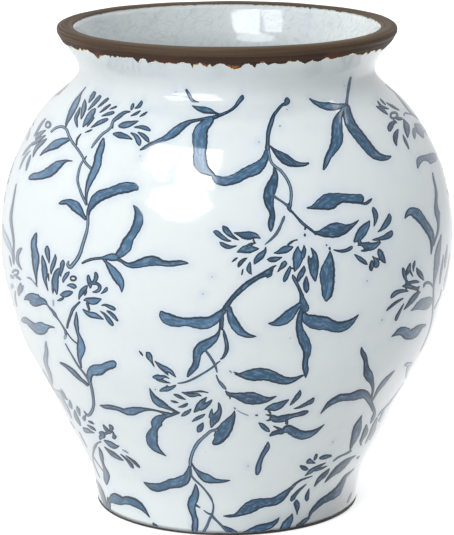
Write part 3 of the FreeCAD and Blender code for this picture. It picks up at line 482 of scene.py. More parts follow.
        ("b", 0, 0, "159.7,391,1.6 163,389.6,4.4 167,388.8,5.6 171,388,4 174,386.4,2.9 176.3,385,.8"),
        ("d", 0, 0, "166.4,387.4,3 167.4,385.2,1.2"),
        ("d", 0, 0, "173.8,394.3,1.2 177.5,395.7,3.5 181.5,397.7,3 185.6,399.5,.8"),
        ("d", 0, 0, "170.7,400.6,1 174.5,401.8,2.5 178.4,402.7,.8"),
        ("d", 0, 0, "178.1,407.1,.8 182.5,406.3,2.9 186,404.8,3.5 187.8,403.3,1.6"),
        ("b", 0, 0, "191.2,408.7,1.2 189,411.3,3.5 186,413.1,4.5 183.5,414.8,3.5 181.2,415.9,1.2"),
        ("b", 0, 0, "181.7,392.2,.8 186,393.5,3 190,394.8,4.4 194,395,4.5 198,394.6,3 201.4,395.9,1"),
        ("d", 0, 0, "186,392.4,1.4 195,391.7,1.6 201,391.3,2 208.4,392.6,.8"),
        ("b", -0.3, 0, "194.1,412.2,1.6 196.7,409.4,5.4 199.9,405.8,8 202.4,402,6.2 205,399,3.2 206.9,397,.9"),
        ("b", 0.3, 0, "199.8,408.6,6 204.5,406,6 208,403.7,4.6 210.6,401.4,3 212.2,399.5,.8"),
        ("d", 0, 0, "192.2,421.5,1.2 196,419,3.4 200,417,4 203.5,415.2,2.5 205.3,413.8,.8"),
        ("d", 0, 0, "203.1,422.4,1.2 202,425,4.5 200.4,427.5,6.9 199,430,6 197.8,432,2.2"),
        ("b", -0.3, 0, "218.5,402.2,.8 219.4,406,3.5 219.6,410.5,5 217.6,415,8 214.6,419,9.8 212.6,423,6.6 211.2,427.7,1.6"),
        ("b", 0, 0, "212,408.7,.9 211.3,413,4 211.7,417.4,7"),
    ],
    "spray_lower_centre": [
        ("b", 0.3, 0, "99.7,405.2,.9 104,406.5,4 109,407,5.2 114,407.9,4.8 119,409.2,4.6 123,410.8,5.2 127,411.3,7.8 131,411.4,9.1 135,410.9,8.7 139,410.1,6.8 143,409.6,4.8 148,409.5,3 154,410.1,2 160,411.6,2.2 165,413.2,3.4 169.4,414.4,4.4"),
        ("b", -0.5, 0, "149.6,388.1,.8 151.1,392.2,3.1 153.5,397,6 156.2,400.4,7.6 160,403.2,8 164,405.3,6.6 168,407.7,4.2 172,409.6,3 176,411.7,2.6 180.1,412.9,.9"),
        ("b", -0.3, 0, "180,412.8,1 176,413.4,3 171,414.8,4.2 166.4,415.8,5.2 162.4,417.6,7 158.6,420,11 156.3,424,12.2 155,428.4,7.6 153.3,432,10.3 152,436.5,12.8 152.3,441.5,12 154.2,446,9.4 157.5,449.8,6.4 161.5,452.9,3.4 166.2,456,.8"),
        ("b", -0.75, 0, "234.6,410.6,.9 233.2,416,5.4 230.1,421.5,10.3 226.5,427,14 223,432,15.3 220,436.5,13.8 217.6,440.5,10 213,443.8,4"),
        ("o", 0, 0, "218,430,5 213.8,430.2,2.8 210,431.6,3 206,435.1,3.2 202,438.6,3.3 198.5,442.1,3.8 195.5,446.6,3.8 193,451.6,3.5 191.2,457,3.5 190.3,462,3.6 190.2,466.4,2.8"),
        ("b", 0.4, 0, "143.6,482.2,.9 148.5,485,5 153.5,487,8.4 159,487.5,9.3 165,485.8,9.5 170.5,483.7,10.4 176,483,11 181.5,481.3,12 185.8,478.4,10.4 187.9,474,7.4 188.9,470,4.6 189.7,466,2.6"),
        ("b", 0.5, 0, "191.2,462.6,1.8 194.4,468,2.5 198.5,472.6,5 203,476.3,8.4 208,478.7,9.4 213,480.3,6.5 218,481,4.5 224,481,3.3 230.2,480.3,.9"),
        ("m", 0, 0, "190.5,465.8,2.2 191,471,2 191.7,475.7,2 194.6,479.6,2.1 198.5,483.1,1.9 203,487.6,1.8 207.5,493.1,1.9 210.6,497.6,2.2 212.6,502,1.5 213.5,507,1.8 212.7,512,2.1 211.6,516,3"),
        ("m", 0, 0, "211.8,515.6,3.4 216,520,2.3 220,524,2.3 224,528,3 228,531.8,3"),
        ("m", 0, 0, "210.7,516.8,3 208.6,522,2.6 206.5,527,3 203.4,532,3"),
        ("m", 0, 0, "203.7,510.3,.9 207.5,513,1.6 211.2,514.6,2.6"),
        ("b", 0.4, 0, "195.5,483.7,.9 195.9,489,5.4 195.3,495,8.4 193.1,500,9.8 191.6,504.5,9 192.1,509.5,7.6 193.8,515,6.2 195.3,521,6.6 194.9,527,7 194.7,533.5,6"),
        ("d", 0, 0, "195.6,504.9,2.6 200.2,507.8,.9"),
        ("m", 0, 0.2, "234.2,407.6,1.4 235.4,409,1.6"),
        ("l", 0, 0.5, "237,410.2,.8 242,413,1.1 248.4,415.5,1.1"),
        ("d", 0, 0, "255.4,415.2,1.6 257.6,415.2,1.8"),
    ],
    "florets_lower_right": [
        ("b", 0.2, 0, "264.6,409.4,1.2 269,408,5.4 274,407,8.5 279,405.5,7.7 284,402.5,5 288.8,399.5,1.2"),
        ("d", 0, 0, "268.4,410,2.6 270.6,413.8,2"),
        ("d", 0, 0, "300.1,390,1.2 299.4,393.4,4.5 296.9,397,5 294,400.5,4 291.5,403.4,2.5 289.7,405.4,.8"),
        ("d", 0, 0, "313.9,397.8,2 311.6,401,4.9 308,403,4.5 303,405.5,3.5 298.5,407.5,2.5 293.6,408.7,.8"),
        ("b", -0.2, 0, "269.5,417.8,2 273,418.5,6.8 278,419.3,7 283,418.3,7.4 288,416.8,6 294,415.3,4.6 300,414,5 304.5,412.5,5 308.3,411.2,2"),
        ("d", 0, 0, "265.6,414.6,.8 270,415.4,2.4 275,416.4,3"),
        ("d", 0, 0, "266.2,420.7,.8 270,419.8,2.6"),
        ("d", 0, 0, "286.6,419,3 286.6,424,3.4"),
        ("b", -0.7, 0, "282.6,431.2,4.4 287,429,9 291.5,430.5,10 296.5,433.3,10.3 302,435,9.8 308,434.3,8 314,432,5.6 319,428.8,3.1 324.4,424.4,.8"),
        ("d", 0, 0, "273.2,425.9,.9 277,427.8,2.5 282,430,3"),
        ("d", 0, 0, "269.7,435.8,2 273,433.5,4.4 277,432.2,5 283,431.4,6"),
        ("b", 0, 0, "258.6,422.7,1.2 261.5,424.8,4.4 264.5,427.5,5.4 267.5,429.9,4.4 269.6,431.7,1.2"),
        ("d", 0, 0, "300,465.8,2 303.5,467.8,5 306.5,469,4.2 308.4,469,1.2"),
        ("d", 0, 0, "306.8,462.8,3 309.6,461.2,5.2 312.8,462.4,3.2 315.4,463.2,.9"),
        ("d", 0, 0, "309.4,461,3 310,458.3,1.6"),
        ("b", 0, 0, "316.7,454.1,2.4 315.6,457.4,3.6 314,460.4,1.4"),
        ("b", 0, 0, "319.6,458.4,2.6 323.5,457.4,4.8 327.5,456.3,4.2 331.4,455.9,2.6"),
        ("b", 0, 0, "325.9,462.8,.8 321,465.3,2.6 316,468,4 311,471,4.6 307.5,473.8,2.6 304.7,475.8,.8"),
        ("b", 0, 0, "327.3,465.8,.8 322,468.3,2.5 315,470.3,3"),
        ("d", 0, 0, "329.8,468.4,.8 327,472,4 323.5,475.5,5.4 319.5,479,4.6 316.5,483,3 314.3,486.7,1"),
        ("d", 0, 0, "355.9,455.5,1 351,458.5,3.2 346.5,461.9,6 342,465.9,7.4 337.5,469.9,7.4 333.5,473.2,5.4 330,476.6,3.8 327,480,2.4 324.7,482.7,.8"),
        ("d", 0, 0, "359.6,456.2,1.4 357.2,458.6,2.4"),
        ("d", 0, 0, "312.4,476.1,.8 307,477.8,1.5 301.5,479.8,2 297,482.5,2.3 293.5,485.6,3 290.6,489,3.6"),
        ("b", 0.3, 0, "223.5,516,.9 229,516,3 235,515.3,3.6 240.5,512.5,7.4 246,509.3,11.4 252,506.2,13 258,503.7,11.2 265,502.5,9.3 272,501.8,9 278,499.5,8.9 283,495.6,7.6 287.5,491.4,5 291.5,487.6,3"),
        ("b", 0, 0, "306.3,484,.8 302.5,487.3,2 298.5,490.8,3 295,494.8,4 292.5,498.3,4.9 290.8,500.9,2.4"),
        ("b", 0, 0, "309.1,488.5,.8 308,492.5,3 307,496,4.5 306.7,499.3,4.2 306.7,501.1,1.6"),
        ("d", 0, 0, "296.5,500,2.4 296.5,503.5,6.4 297,507,5.5 297,510.5,3 297,514.7,.8"),
        ("b", 0.6, 0, "354.3,468.7,.8 349.5,473,2 345.5,476.8,3.5 343,481.5,5 340.3,486.5,6.6 337,491.5,8.8 332.5,495.3,8.8 327.5,498.2,7.4 322,501.3,6.5 317.5,505.3,5.5 313.5,509.3,4.5 310.5,513,3.2 309,517.4,2"),
        ("d", 0, 0, "309.2,517.4,2.2 305,520.5,4.4 301,523.5,4 296.2,525.7,1.4"),
        ("b", 0.3, 0, "292.2,513.7,1.2 291,517.5,5 288.5,521.5,8 285.5,525.5,8.8 282.5,528.5,6 279.8,530.7,2.4"),
        ("b", 0.4, 0, "279.2,517.4,.8 276.2,521.2,4 271,524.8,6.4 265,526.9,7.8 259,528.2,8 253,529.8,6 246,532,3 240,533.6,1.2"),
        ("d", 0, 0, "220.8,525.3,1.2 226,528,3.8 231,530.5,4.8 237,533.2,3.4"),
        ("m", 0, 0, "351.9,492.6,1 350,497.4,2.2 347.4,503,1.4"),
    ],
    "kiln_specks": [
        ("k", 0, 0, "280,126,1.5"),
        ("k", 0, 0, "259,142,1.2"),
        ("k", 0, 0, "287,109.5,1.1"),
        ("k", 0, 0, "140,156,1"),
        ("k", 0, 0, "367,281,1.3"),
        ("k", 0, 0, "382,320,1.2"),
        ("k", 0, 0, "333,442,1"),
        ("k", 0, 0, "248,466,1"),
        ("k", 0, 0, "212,277,.9"),
        ("k", 0, 0, "203,294,1"),
        ("k", 0, 0, "155.5,389.5,1.3"),
        ("k", 0, 0, "345,86,.9"),
        ("k", 0, 0, "176,92,.9"),
        ("k", 0, 0, "90,96,.9"),
    ],
}
# the sides the photograph never sees: a made-up spray, drawn as seen by the same camera with the vase turned a quarter turn
SIDE_STROKES = {
    "spray_side": [
        ("o", 0, 0, "222,527,2.0 218,510,2.2 212,490,2.2 209,470,2.2 213,452,2.2 222,432,2.3 229,408,2.3 231,384,2.3 227,360,2.3 220,338,2.3 217,316,2.3 220,294,2.3 227,272,2.2 233,252,2.0 236,234,1.6"),
        ("b3", -0.3, 0, "232,247,1.3 225,242,6.5 214,240,10.4 203,236,7.0 194,232,2.1 191,230,1.0"),
        ("b4", 0, 0, "230,264,1.3 221,263,5.5 211,266,8.3 202,272,6.5 197,279,2.6 195,284,1.3"),
        ("b2", 0.3, 0, "219,322,1.3 211,314,5.7 206,303,8.3 206,291,7.0 208,282,2.6 210,277,1.3"),
        ("b5", 0, 0, "218,304,1.3 227,300,5.7 238,299,8.8 248,303,7.3 255,310,3.2 257,316,1.3"),
        ("b3", -0.3, 0, "226,356,1.3 216,353,5.2 207,356,9.1 200,365,8.5 197,376,3.9 196,384,1.3"),
        ("b4", 0, 0, "221,435,1.3 212,431,4.5 204,424,7.2 199,414,5.2 197,405,1.3"),
        ("b2", 0, 0, "229,412,1.3 236,420,5.2 242,431,7.8 244,444,6.5 243,456,1.3"),
        ("o", 0, 0, "231,396,1.4 237,385,1.9 242,373,2.0 245,361,1.9 246,350,1.4"),
        ("b4", 0, 0, "243,374,1.3 251,377,4.4 258,384,6.2 262,393,3.9 263,399,1.3"),
        ("b3", 0.3, 0, "209,480,1.3 217,472,5.2 227,468,8.3 238,470,6.5 246,475,2.6 250,479,1.3"),
        ("b5", 0, 0, "213,505,1.3 219,498,4.4 227,495,5.7 236,497,4.2 241,501,1.3"),
        ("b3", 0, 0, "212,494,1.3 204,486,4.9 199,475,7.3 197,463,5.2 198,454,1.3"),
        ("d", 0, 0, "214,454,1.3 221,457,3.4 228,463,3.6 232,469,1.3"),
        ("b3", 0, 0, "276,421,9.1 268,422,14.3 260,426,12.3 253,431,6.5 248,436,1.3"),
        ("b4", 0, 0, "243,517,6.5 236,517,6.2 229,519,3.9 224,522,1.3"),
        ("d3", 0, 0, "263,459,3.9 257,461,3.4 251,464,1.3"),
    ],
    "florets_side": [
        ("d3", 0, 0, "235,229,1.3 231,220,3.9 227,212,4.7 224,206,1.3"),
        ("d", 0, 0, "237,227,1.3 237,217,4.2 236,207,4.9 235,199,1.3"),
        ("d2", 0, 0, "240,228,1.3 244,219,4.2 247,210,4.7 248,203,1.3"),
        ("d3", 0, 0, "241,232,1.3 247,226,4.2 253,222,4.4 258,220,1.3"),
        ("d", 0, 0, "241,237,1.3 248,237,3.6 254,240,3.9 257,244,1.3"),
        ("d3", 0, 0, "231,231,1.3 225,226,3.6 220,223,3.9 216,222,1.3"),
        ("d", 0, 0, "219,212,2.6"),
        ("d4", 0, 0, "230,195,2.3"),
        ("d", 0, 0, "242,197,2.6"),
        ("d3", 0, 0, "254,211,2.3"),
        ("d2", 0, 0, "246,349,1.3 244,341,3.6 241,333,4.2 239,327,1.3"),
        ("d3", 0, 0, "248,348,1.3 250,339,3.6 251,330,4.2 251,323,1.3"),
        ("d", 0, 0, "250,350,1.3 255,343,3.4 260,337,3.9 264,333,1.3"),
        ("d4", 0, 0, "251,354,1.3 258,352,3.6 264,350,3.9 268,349,1.3"),
        ("d", 0, 0, "243,354,1.3 238,349,2.9 234,344,3.1 232,340,1.3"),
        ("d", 0, 0, "233,328,2.3"),
        ("d3", 0, 0, "258,326,2.6"),
        ("d3", 0, 0, "209,468,1.3 206,459,3.4 205,450,3.9 206,444,1.3"),
    ],
}

# ---------------------------------------------------------------- mesh helpers
def make_object(name, verts, faces, smooth=True):
    me = bpy.data.meshes.new(name)
    me.from_pydata([tuple(v) for v in np.asarray(verts, float)], [], faces)
    me.validate()
    me.polygons.foreach_set("use_smooth", [smooth] * len(me.polygons))
    me.update()
    ob = bpy.data.objects.new(name, me)
    bpy.context.scene.collection.objects.link(ob)
    return ob


def put(ob, name, values):
    values = np.asarray(values, np.float32)
    if values.ndim == 1:
        a = ob.data.attributes.new(name, "FLOAT", "POINT")
        a.data.foreach_set("value", values)
    elif values.shape[1] == 3:
        a = ob.data.attributes.new(name, "FLOAT_VECTOR", "POINT")
        a.data.foreach_set("vector", values.ravel())
    else:
        a = ob.data.attributes.new(name, "FLOAT_COLOR", "POINT")
        a.data.foreach_set("color", values.ravel())


def turned(name, loop, n_theta, off=None, flip=False):
    """A closed ring swept round the axis. loop(theta) gives the (r, z) points in mm of the section at theta."""
    th = np.linspace(-math.pi, math.pi, n_theta, endpoint=False)
    rings = [loop(t) for t in th]
    m = len(rings[0])
    rz = np.array(rings)
    x = rz[..., 0] * np.sin(th)[:, None]
    y = -rz[..., 0] * np.cos(th)[:, None]
    v = np.stack([x, y, rz[..., 1]], -1).reshape(-1, 3) / 1000.0
    faces = []
    for i in range(n_theta):
        a, b = i * m, ((i + 1) % n_theta) * m
        for j in range(m):
            k = (j + 1) % m
            f = (a + j, b + j, b + k, a + k)
            faces.append(f[::-1] if flip else f)
    return make_object(name, v, faces), th, rz


# ---------------------------------------------------------------- materials
def srgb(r, g, b):
    c = np.array([r, g, b], float) / 255
    c = np.where(c <= 0.04045, c / 12.92, ((c + 0.055) / 1.055) ** 2.4)
    return (float(c[0]), float(c[1]), float(c[2]), 1.0)


class Nodes:
    """Short hand for building a node tree."""

    def __init__(self, name):
        self.mat = bpy.data.materials.new(name)
        self.mat.use_nodes = True
        self.tree = self.mat.node_tree
        self.tree.nodes.clear()
        self.out = self.tree.nodes.new("ShaderNodeOutputMaterial")
        self.bsdf = self.tree.nodes.new("ShaderNodeBsdfPrincipled")
        self.link(self.bsdf.outputs[0], self.out.inputs[0])

    def link(self, a, b):
        self.tree.links.new(a, b)

    def feed(self, socket, value):
        if isinstance(value, bpy.types.NodeSocket):
            self.link(value, socket)
        else:
            socket.default_value = value

    def attr(self, name, out="Fac"):
        n = self.tree.nodes.new("ShaderNodeAttribute")
        n.attribute_name = name
        return n.outputs[out]

    def coords(self):
        return self.tree.nodes.new("ShaderNodeTexCoord").outputs["Object"]

    def math(self, op, a, b=None, clamp=False):
        n = self.tree.nodes.new("ShaderNodeMath")
        n.operation = op
        n.use_clamp = clamp
        self.feed(n.inputs[0], a)
        if b is not None:
            self.feed(n.inputs[1], b)
        return n.outputs[0]

    def vmath(self, op, a, b):
        n = self.tree.nodes.new("ShaderNodeVectorMath")
        n.operation = op
        self.feed(n.inputs[0], a)
        self.feed(n.inputs[1], b)
        return n.outputs[0]

    def combine(self, x, y, z):
        n = self.tree.nodes.new("ShaderNodeCombineXYZ")
        self.feed(n.inputs[0], x)
        self.feed(n.inputs[1], y)
        self.feed(n.inputs[2], z)
        return n.outputs[0]

    def noise(self, vector, scale, detail=3.0, rough=0.55, out="Fac"):
        n = self.tree.nodes.new("ShaderNodeTexNoise")
        self.feed(n.inputs["Vector"], vector)
        self.feed(n.inputs["Scale"], scale)
        n.inputs["Detail"].default_value = detail
        n.inputs["Roughness"].default_value = rough
        return n.outputs[out]

    def voronoi(self, vector, scale, feature="F1", out="Distance"):
        n = self.tree.nodes.new("ShaderNodeTexVoronoi")
        n.feature = feature
        self.feed(n.inputs["Vector"], vector)
        self.feed(n.inputs["Scale"], scale)
        return n.outputs[out]

    def ramp(self, value, a, b, lo=0.0, hi=1.0, smooth=True):
        n = self.tree.nodes.new("ShaderNodeMapRange")
        n.interpolation_type = "SMOOTHSTEP" if smooth else "LINEAR"
        self.feed(n.inputs["Value"], value)
        self.feed(n.inputs["From Min"], a)
        self.feed(n.inputs["From Max"], b)
        self.feed(n.inputs["To Min"], lo)
        self.feed(n.inputs["To Max"], hi)
        return n.outputs["Result"]

    def mix(self, fac, a, b, blend="MIX"):
        n = self.tree.nodes.new("ShaderNodeMix")
        n.data_type = "RGBA"
        n.blend_type = blend
        self.feed(n.inputs[0], fac)
        self.feed(n.inputs[6], a)
        self.feed(n.inputs[7], b)
        return n.outputs[2]

    def bump(self, height, strength, distance):
        n = self.tree.nodes.new("ShaderNodeBump")
        n.inputs["Strength"].default_value = strength
        n.inputs["Distance"].default_value = distance
        self.feed(n.inputs["Height"], height)
        self.link(n.outputs[0], self.bsdf.inputs["Normal"])

    def set(self, name, value):
        self.feed(self.bsdf.inputs[name], value)


GLAZE = srgb(223, 231, 234)
GLAZE_BLUE = srgb(206, 220, 232)
GLAZE_WARM = srgb(225, 232, 232)


def glaze_material(name, crackle):
    m = Nodes(name)
    co = m.coords()
    cloud = m.noise(co, 9.0, 2.0)
    fine = m.noise(co, 70.0, 3.0)
    col = m.mix(m.ramp(cloud, 0.35, 0.65), GLAZE, GLAZE_WARM)
    col = m.mix(m.ramp(fine, 0.45, 0.75, 0.0, 0.25), col, GLAZE_BLUE)
    if crackle:
        # painted light and shade: the inside colour is darkened overall, less so where the lit mask is high, on the
        # inner right wall near the top
        col = m.mix(1.0, col, m.mix(m.attr("lit"), (0.765, 0.77, 0.775, 1.0), (1.0, 1.0, 1.0, 1.0)), "MULTIPLY")
        warp = m.noise(co, 18.0, 3.0, out="Color")
        shift = m.tree.nodes.new("ShaderNodeVectorMath")
        shift.operation = "SCALE"
        m.link(warp, shift.inputs[0])
        shift.inputs["Scale"].default_value = 0.03
        bent = m.vmath("ADD", co, shift.outputs[0])
        turn = m.tree.nodes.new("ShaderNodeVectorRotate")
        turn.rotation_type = "EULER_XYZ"
        m.link(bent, turn.inputs["Vector"])
        turn.inputs["Rotation"].default_value = (0.5, 0.7, 0.6)
        slant = m.vmath("MULTIPLY", turn.outputs[0], (1.0, 0.42, 1.9))
        line = m.voronoi(slant, 190.0, "DISTANCE_TO_EDGE")
        craze = m.ramp(line, 0.0, 0.07, 1.0, 0.0)
        craze = m.math("MULTIPLY", craze, m.ramp(m.noise(co, 30.0, 2.0), 0.35, 0.65, 0.03, 0.22))
        hatch = m.noise(m.vmath("MULTIPLY", slant, (1.0, 0.3, 1.0)), 210.0, 2.0)
        col = m.mix(m.ramp(hatch, 0.46, 0.72, 0.0, 0.22), col, srgb(150, 164, 172))
        col = m.mix(craze, col, srgb(128, 140, 146))
        height = m.math("SUBTRACT", m.noise(co, 30.0, 2.0), craze)
        m.bump(height, 0.25, 0.0005)
    else:
        halo = m.attr("halo")
        halo = m.math("MULTIPLY", halo, m.ramp(m.noise(co, 160.0, 3.0), 0.3, 0.7, 0.55, 1.0))
        col = m.mix(halo, col, srgb(176, 199, 222))
        # kiln specks: one small dot in a few of the cells
        cell = m.tree.nodes.new("ShaderNodeTexVoronoi")
        m.link(co, cell.inputs["Vector"])
        cell.inputs["Scale"].default_value = 85.0
        rnd = m.tree.nodes.new("ShaderNodeSeparateColor")
        m.link(cell.outputs["Color"], rnd.inputs[0])
        few = m.math("GREATER_THAN", rnd.outputs[0], 0.93)
        dot = m.ramp(cell.outputs["Distance"], 0.02, 0.055, 0.55, 0.0)
        col = m.mix(m.math("MULTIPLY", dot, few), col, srgb(92, 98, 104))
        # painted shade: the colour goes darker in the neck and towards the foot, where the shade mask is high
        col = m.mix(m.attr("shade"), col, (0.0, 0.0, 0.0, 1.0))
        m.bump(m.noise(co, 24.0, 2.0), 0.25, 0.0005)
    m.set("Base Color", col)
    m.set("Roughness", m.ramp(m.noise(co, 40.0, 2.0), 0.3, 0.7, 0.07, 0.12))
    m.set("IOR", 1.5)
    m.set("Coat Weight", 0.35)
    m.set("Coat Roughness", 0.03)
    return m.mat


def brush_material():
    m = Nodes("cobalt_brushwork")
    u, v = m.attr("b_u"), m.attr("b_v")
    seed, edge, line = m.attr("b_seed"), m.attr("b_edge"), m.attr("b_line")
    wash = m.attr("b_wash", "Color")
    ink = m.attr("b_ink", "Color")
    flow = m.combine(m.math("MULTIPLY", u, 0.16), m.math("MULTIPLY", v, 0.9), seed)
    streak = m.noise(flow, 1.0, 3.0)
    blot = m.noise(m.combine(m.math("MULTIPLY", u, 0.26), m.math("MULTIPLY", v, 0.62), seed), 1.0, 2.0)
    grain = m.noise(m.combine(m.math("MULTIPLY", u, 0.55), v, seed), 3.0, 2.0)
    # the wash: thinner and thicker along the stroke
    thin = m.mix(0.5, wash, srgb(146, 184, 222))
    thick = m.mix(0.55, wash, ink)
    col = m.mix(m.ramp(blot, 0.44, 0.68, 0.0, 0.62), wash, thin)
    col = m.mix(m.ramp(streak, 0.50, 0.70, 0.0, 0.7), col, thick)
    col = m.mix(m.ramp(grain, 0.5, 0.8, 0.0, 0.18), col, ink)
    # the dark line round it, pooled unevenly
    wob = m.math("ADD", edge, m.math("MULTIPLY", m.math("SUBTRACT", grain, 0.5), 0.35))
    a = m.math("SUBTRACT", line, 0.14)
    b = m.math("ADD", line, 0.16)
    rim = m.ramp(wob, a, b, 1.0, 0.0)
    rim = m.math("MULTIPLY", rim, m.ramp(blot, 0.25, 0.6, 0.85, 1.0))
    col = m.mix(rim, col, ink)
    # the very edge bleeds into the glaze
    bleed = m.ramp(m.math("ADD", edge, m.math("MULTIPLY", m.math("SUBTRACT", grain, 0.5), 0.2)), 0.0, 0.12, 0.2, 0.0)
    col = m.mix(bleed, col, srgb(60, 88, 120))
    m.set("Base Color", col)
    m.set("Roughness", m.ramp(streak, 0.3, 0.7, 0.10, 0.16))
    m.set("IOR", 1.5)
    m.set("Coat Weight", 0.35)
    m.set("Coat Roughness", 0.03)
    return m.mat


def rim_material():
    m = Nodes("iron_slip_rim")
    arc = m.attr("arc")
    co = m.coords()
    band = m.vmath("MULTIPLY", co, (9.0, 9.0, 0.0))
    sep = m.tree.nodes.new("ShaderNodeSeparateXYZ")
    m.link(band, sep.inputs[0])
    flow = m.combine(sep.outputs[0], sep.outputs[1], m.math("MULTIPLY", arc, 0.75))
    streak = m.noise(flow, 1.0, 4.0, 0.6)
    streak2 = m.noise(m.combine(m.math("MULTIPLY", sep.outputs[0], 2.6), m.math("MULTIPLY", sep.outputs[1], 2.6), m.math("MULTIPLY", arc, 1.6)), 1.0, 3.0)
    grit = m.noise(co, 900.0, 3.0)
    patch = m.noise(co, 45.0, 3.0)
    top = m.mix(m.ramp(streak, 0.35, 0.68), srgb(88, 70, 51), srgb(68, 53, 40))
    top = m.mix(m.ramp(streak2, 0.52, 0.78, 0.0, 0.45), top, srgb(108, 86, 62))
    low = m.mix(m.ramp(streak, 0.35, 0.65), srgb(70, 47, 36), srgb(52, 38, 30))
    low = m.mix(m.ramp(patch, 0.5, 0.66, 0.0, 0.7), low, srgb(88, 48, 38))
    under = m.ramp(m.math("ADD", arc, m.math("MULTIPLY", m.math("SUBTRACT", patch, 0.5), 2.4)), 4.2, 6.6, 1.0, 0.0)
    col = m.mix(under, top, low)
    col = m.mix(m.ramp(grit, 0.5, 0.8, 0.0, 0.35), col, srgb(44, 34, 28))
    tip = m.attr("rim_edge")
    amber = m.math("MULTIPLY", m.ramp(tip, 0.0, 0.9, 1.0, 0.0), m.ramp(patch, 0.52, 0.64, 0.0, 0.7))
    col = m.mix(amber, col, srgb(140, 84, 44))
    drop = m.attr("drop")
    amber2 = m.mix(m.ramp(m.noise(co, 260.0, 2.0), 0.4, 0.62), srgb(160, 98, 36), srgb(112, 62, 28))
    col = m.mix(m.ramp(drop, 0.25, 0.75), col, amber2)
    fleck = m.noise(co, 420.0, 2.0)
    pale = m.ramp(m.math("ADD", tip, m.math("MULTIPLY", m.math("SUBTRACT", fleck, 0.5), 0.9)), 0.58, 0.80, 1.0, 0.0)
    col = m.mix(pale, col, m.mix(m.ramp(patch, 0.44, 0.58), srgb(255, 249, 230), srgb(240, 206, 138)))
    chip = m.ramp(m.attr("inner_edge"), 0.0, 0.45, 1.0, 0.0)
    col = m.mix(m.math("MULTIPLY", chip, 0.85), col, srgb(232, 224, 206))
    m.set("Base Color", col)
    m.set("Roughness", m.ramp(streak, 0.3, 0.7, 0.46, 0.66))
    m.set("IOR", 1.5)
    m.set("Specular IOR Level", 0.22)
    m.bump(m.math("ADD", m.math("MULTIPLY", streak, 0.8), m.math("MULTIPLY", grit, 0.35)), 0.5, 0.0005)
    return m.mat


def foot_material():
    m = Nodes("iron_slip_foot")
    co = m.coords()
    flow = m.vmath("MULTIPLY", co, (14.0, 14.0, 420.0))
    streak = m.noise(flow, 1.0, 3.0)
    patch = m.noise(co, 60.0, 3.0)
    col = m.mix(m.ramp(streak, 0.35, 0.65), srgb(44, 36, 32), srgb(26, 23, 22))
    col = m.mix(m.ramp(patch, 0.6, 0.74, 0.0, 0.4), col, srgb(96, 66, 46))
    m.set("Base Color", col)
    m.set("Roughness", m.ramp(patch, 0.3, 0.7, 0.45, 0.65))
    m.bump(m.noise(co, 500.0, 3.0), 0.4, 0.0004)
    return m.mat


def clay_material():
    m = Nodes("bare_terracotta")
    co = m.coords()
    grain = m.noise(co, 650.0, 4.0, 0.65)
    cloud = m.noise(co, 26.0, 3.0)
    ring = m.noise(m.vmath("MULTIPLY", co, (12.0, 12.0, 500.0)), 1.0, 3.0)
    col = m.mix(m.ramp(cloud, 0.35, 0.65), srgb(196, 140, 104), srgb(176, 118, 84))
    col = m.mix(m.ramp(ring, 0.5, 0.75, 0.0, 0.4), col, srgb(214, 168, 132))
    col = m.mix(m.ramp(grain, 0.55, 0.78, 0.0, 0.6), col, srgb(132, 84, 60))
    m.set("Base Color", col)
    m.set("Roughness", m.ramp(grain, 0.3, 0.7, 0.72, 0.9))
    m.bump(grain, 0.5, 0.0004)
    return m.mat


# ---------------------------------------------------------------- brush strokes
def tone(value):
    return np.array(srgb(*value)[:3])


INK = tone((16, 38, 62))
INK_SOFT = tone((58, 80, 102))
WASHES = [tone((68, 108, 140)), tone((78, 118, 154)), tone((62, 100, 130)), tone((86, 122, 158)), tone((72, 106, 132))]
TONES = [tone(c) for c in ((18, 56, 85), (32, 75, 105), (45, 90, 122), (60, 104, 137), (77, 119, 154), (94, 133, 168), (115, 150, 183))]
WASH_LIGHT = tone((140, 166, 190))
WASH_MID = tone((84, 108, 130))
PALE = tone((196, 210, 222))
PX = 0.6     # millimetres to one picture element at the vase


def rand(k, j=0):
    """A repeatable number from 0 to 1."""
    x = math.sin(k * 12.9898 + j * 78.233 + 4.1) * 43758.5453
    return x - math.floor(x)


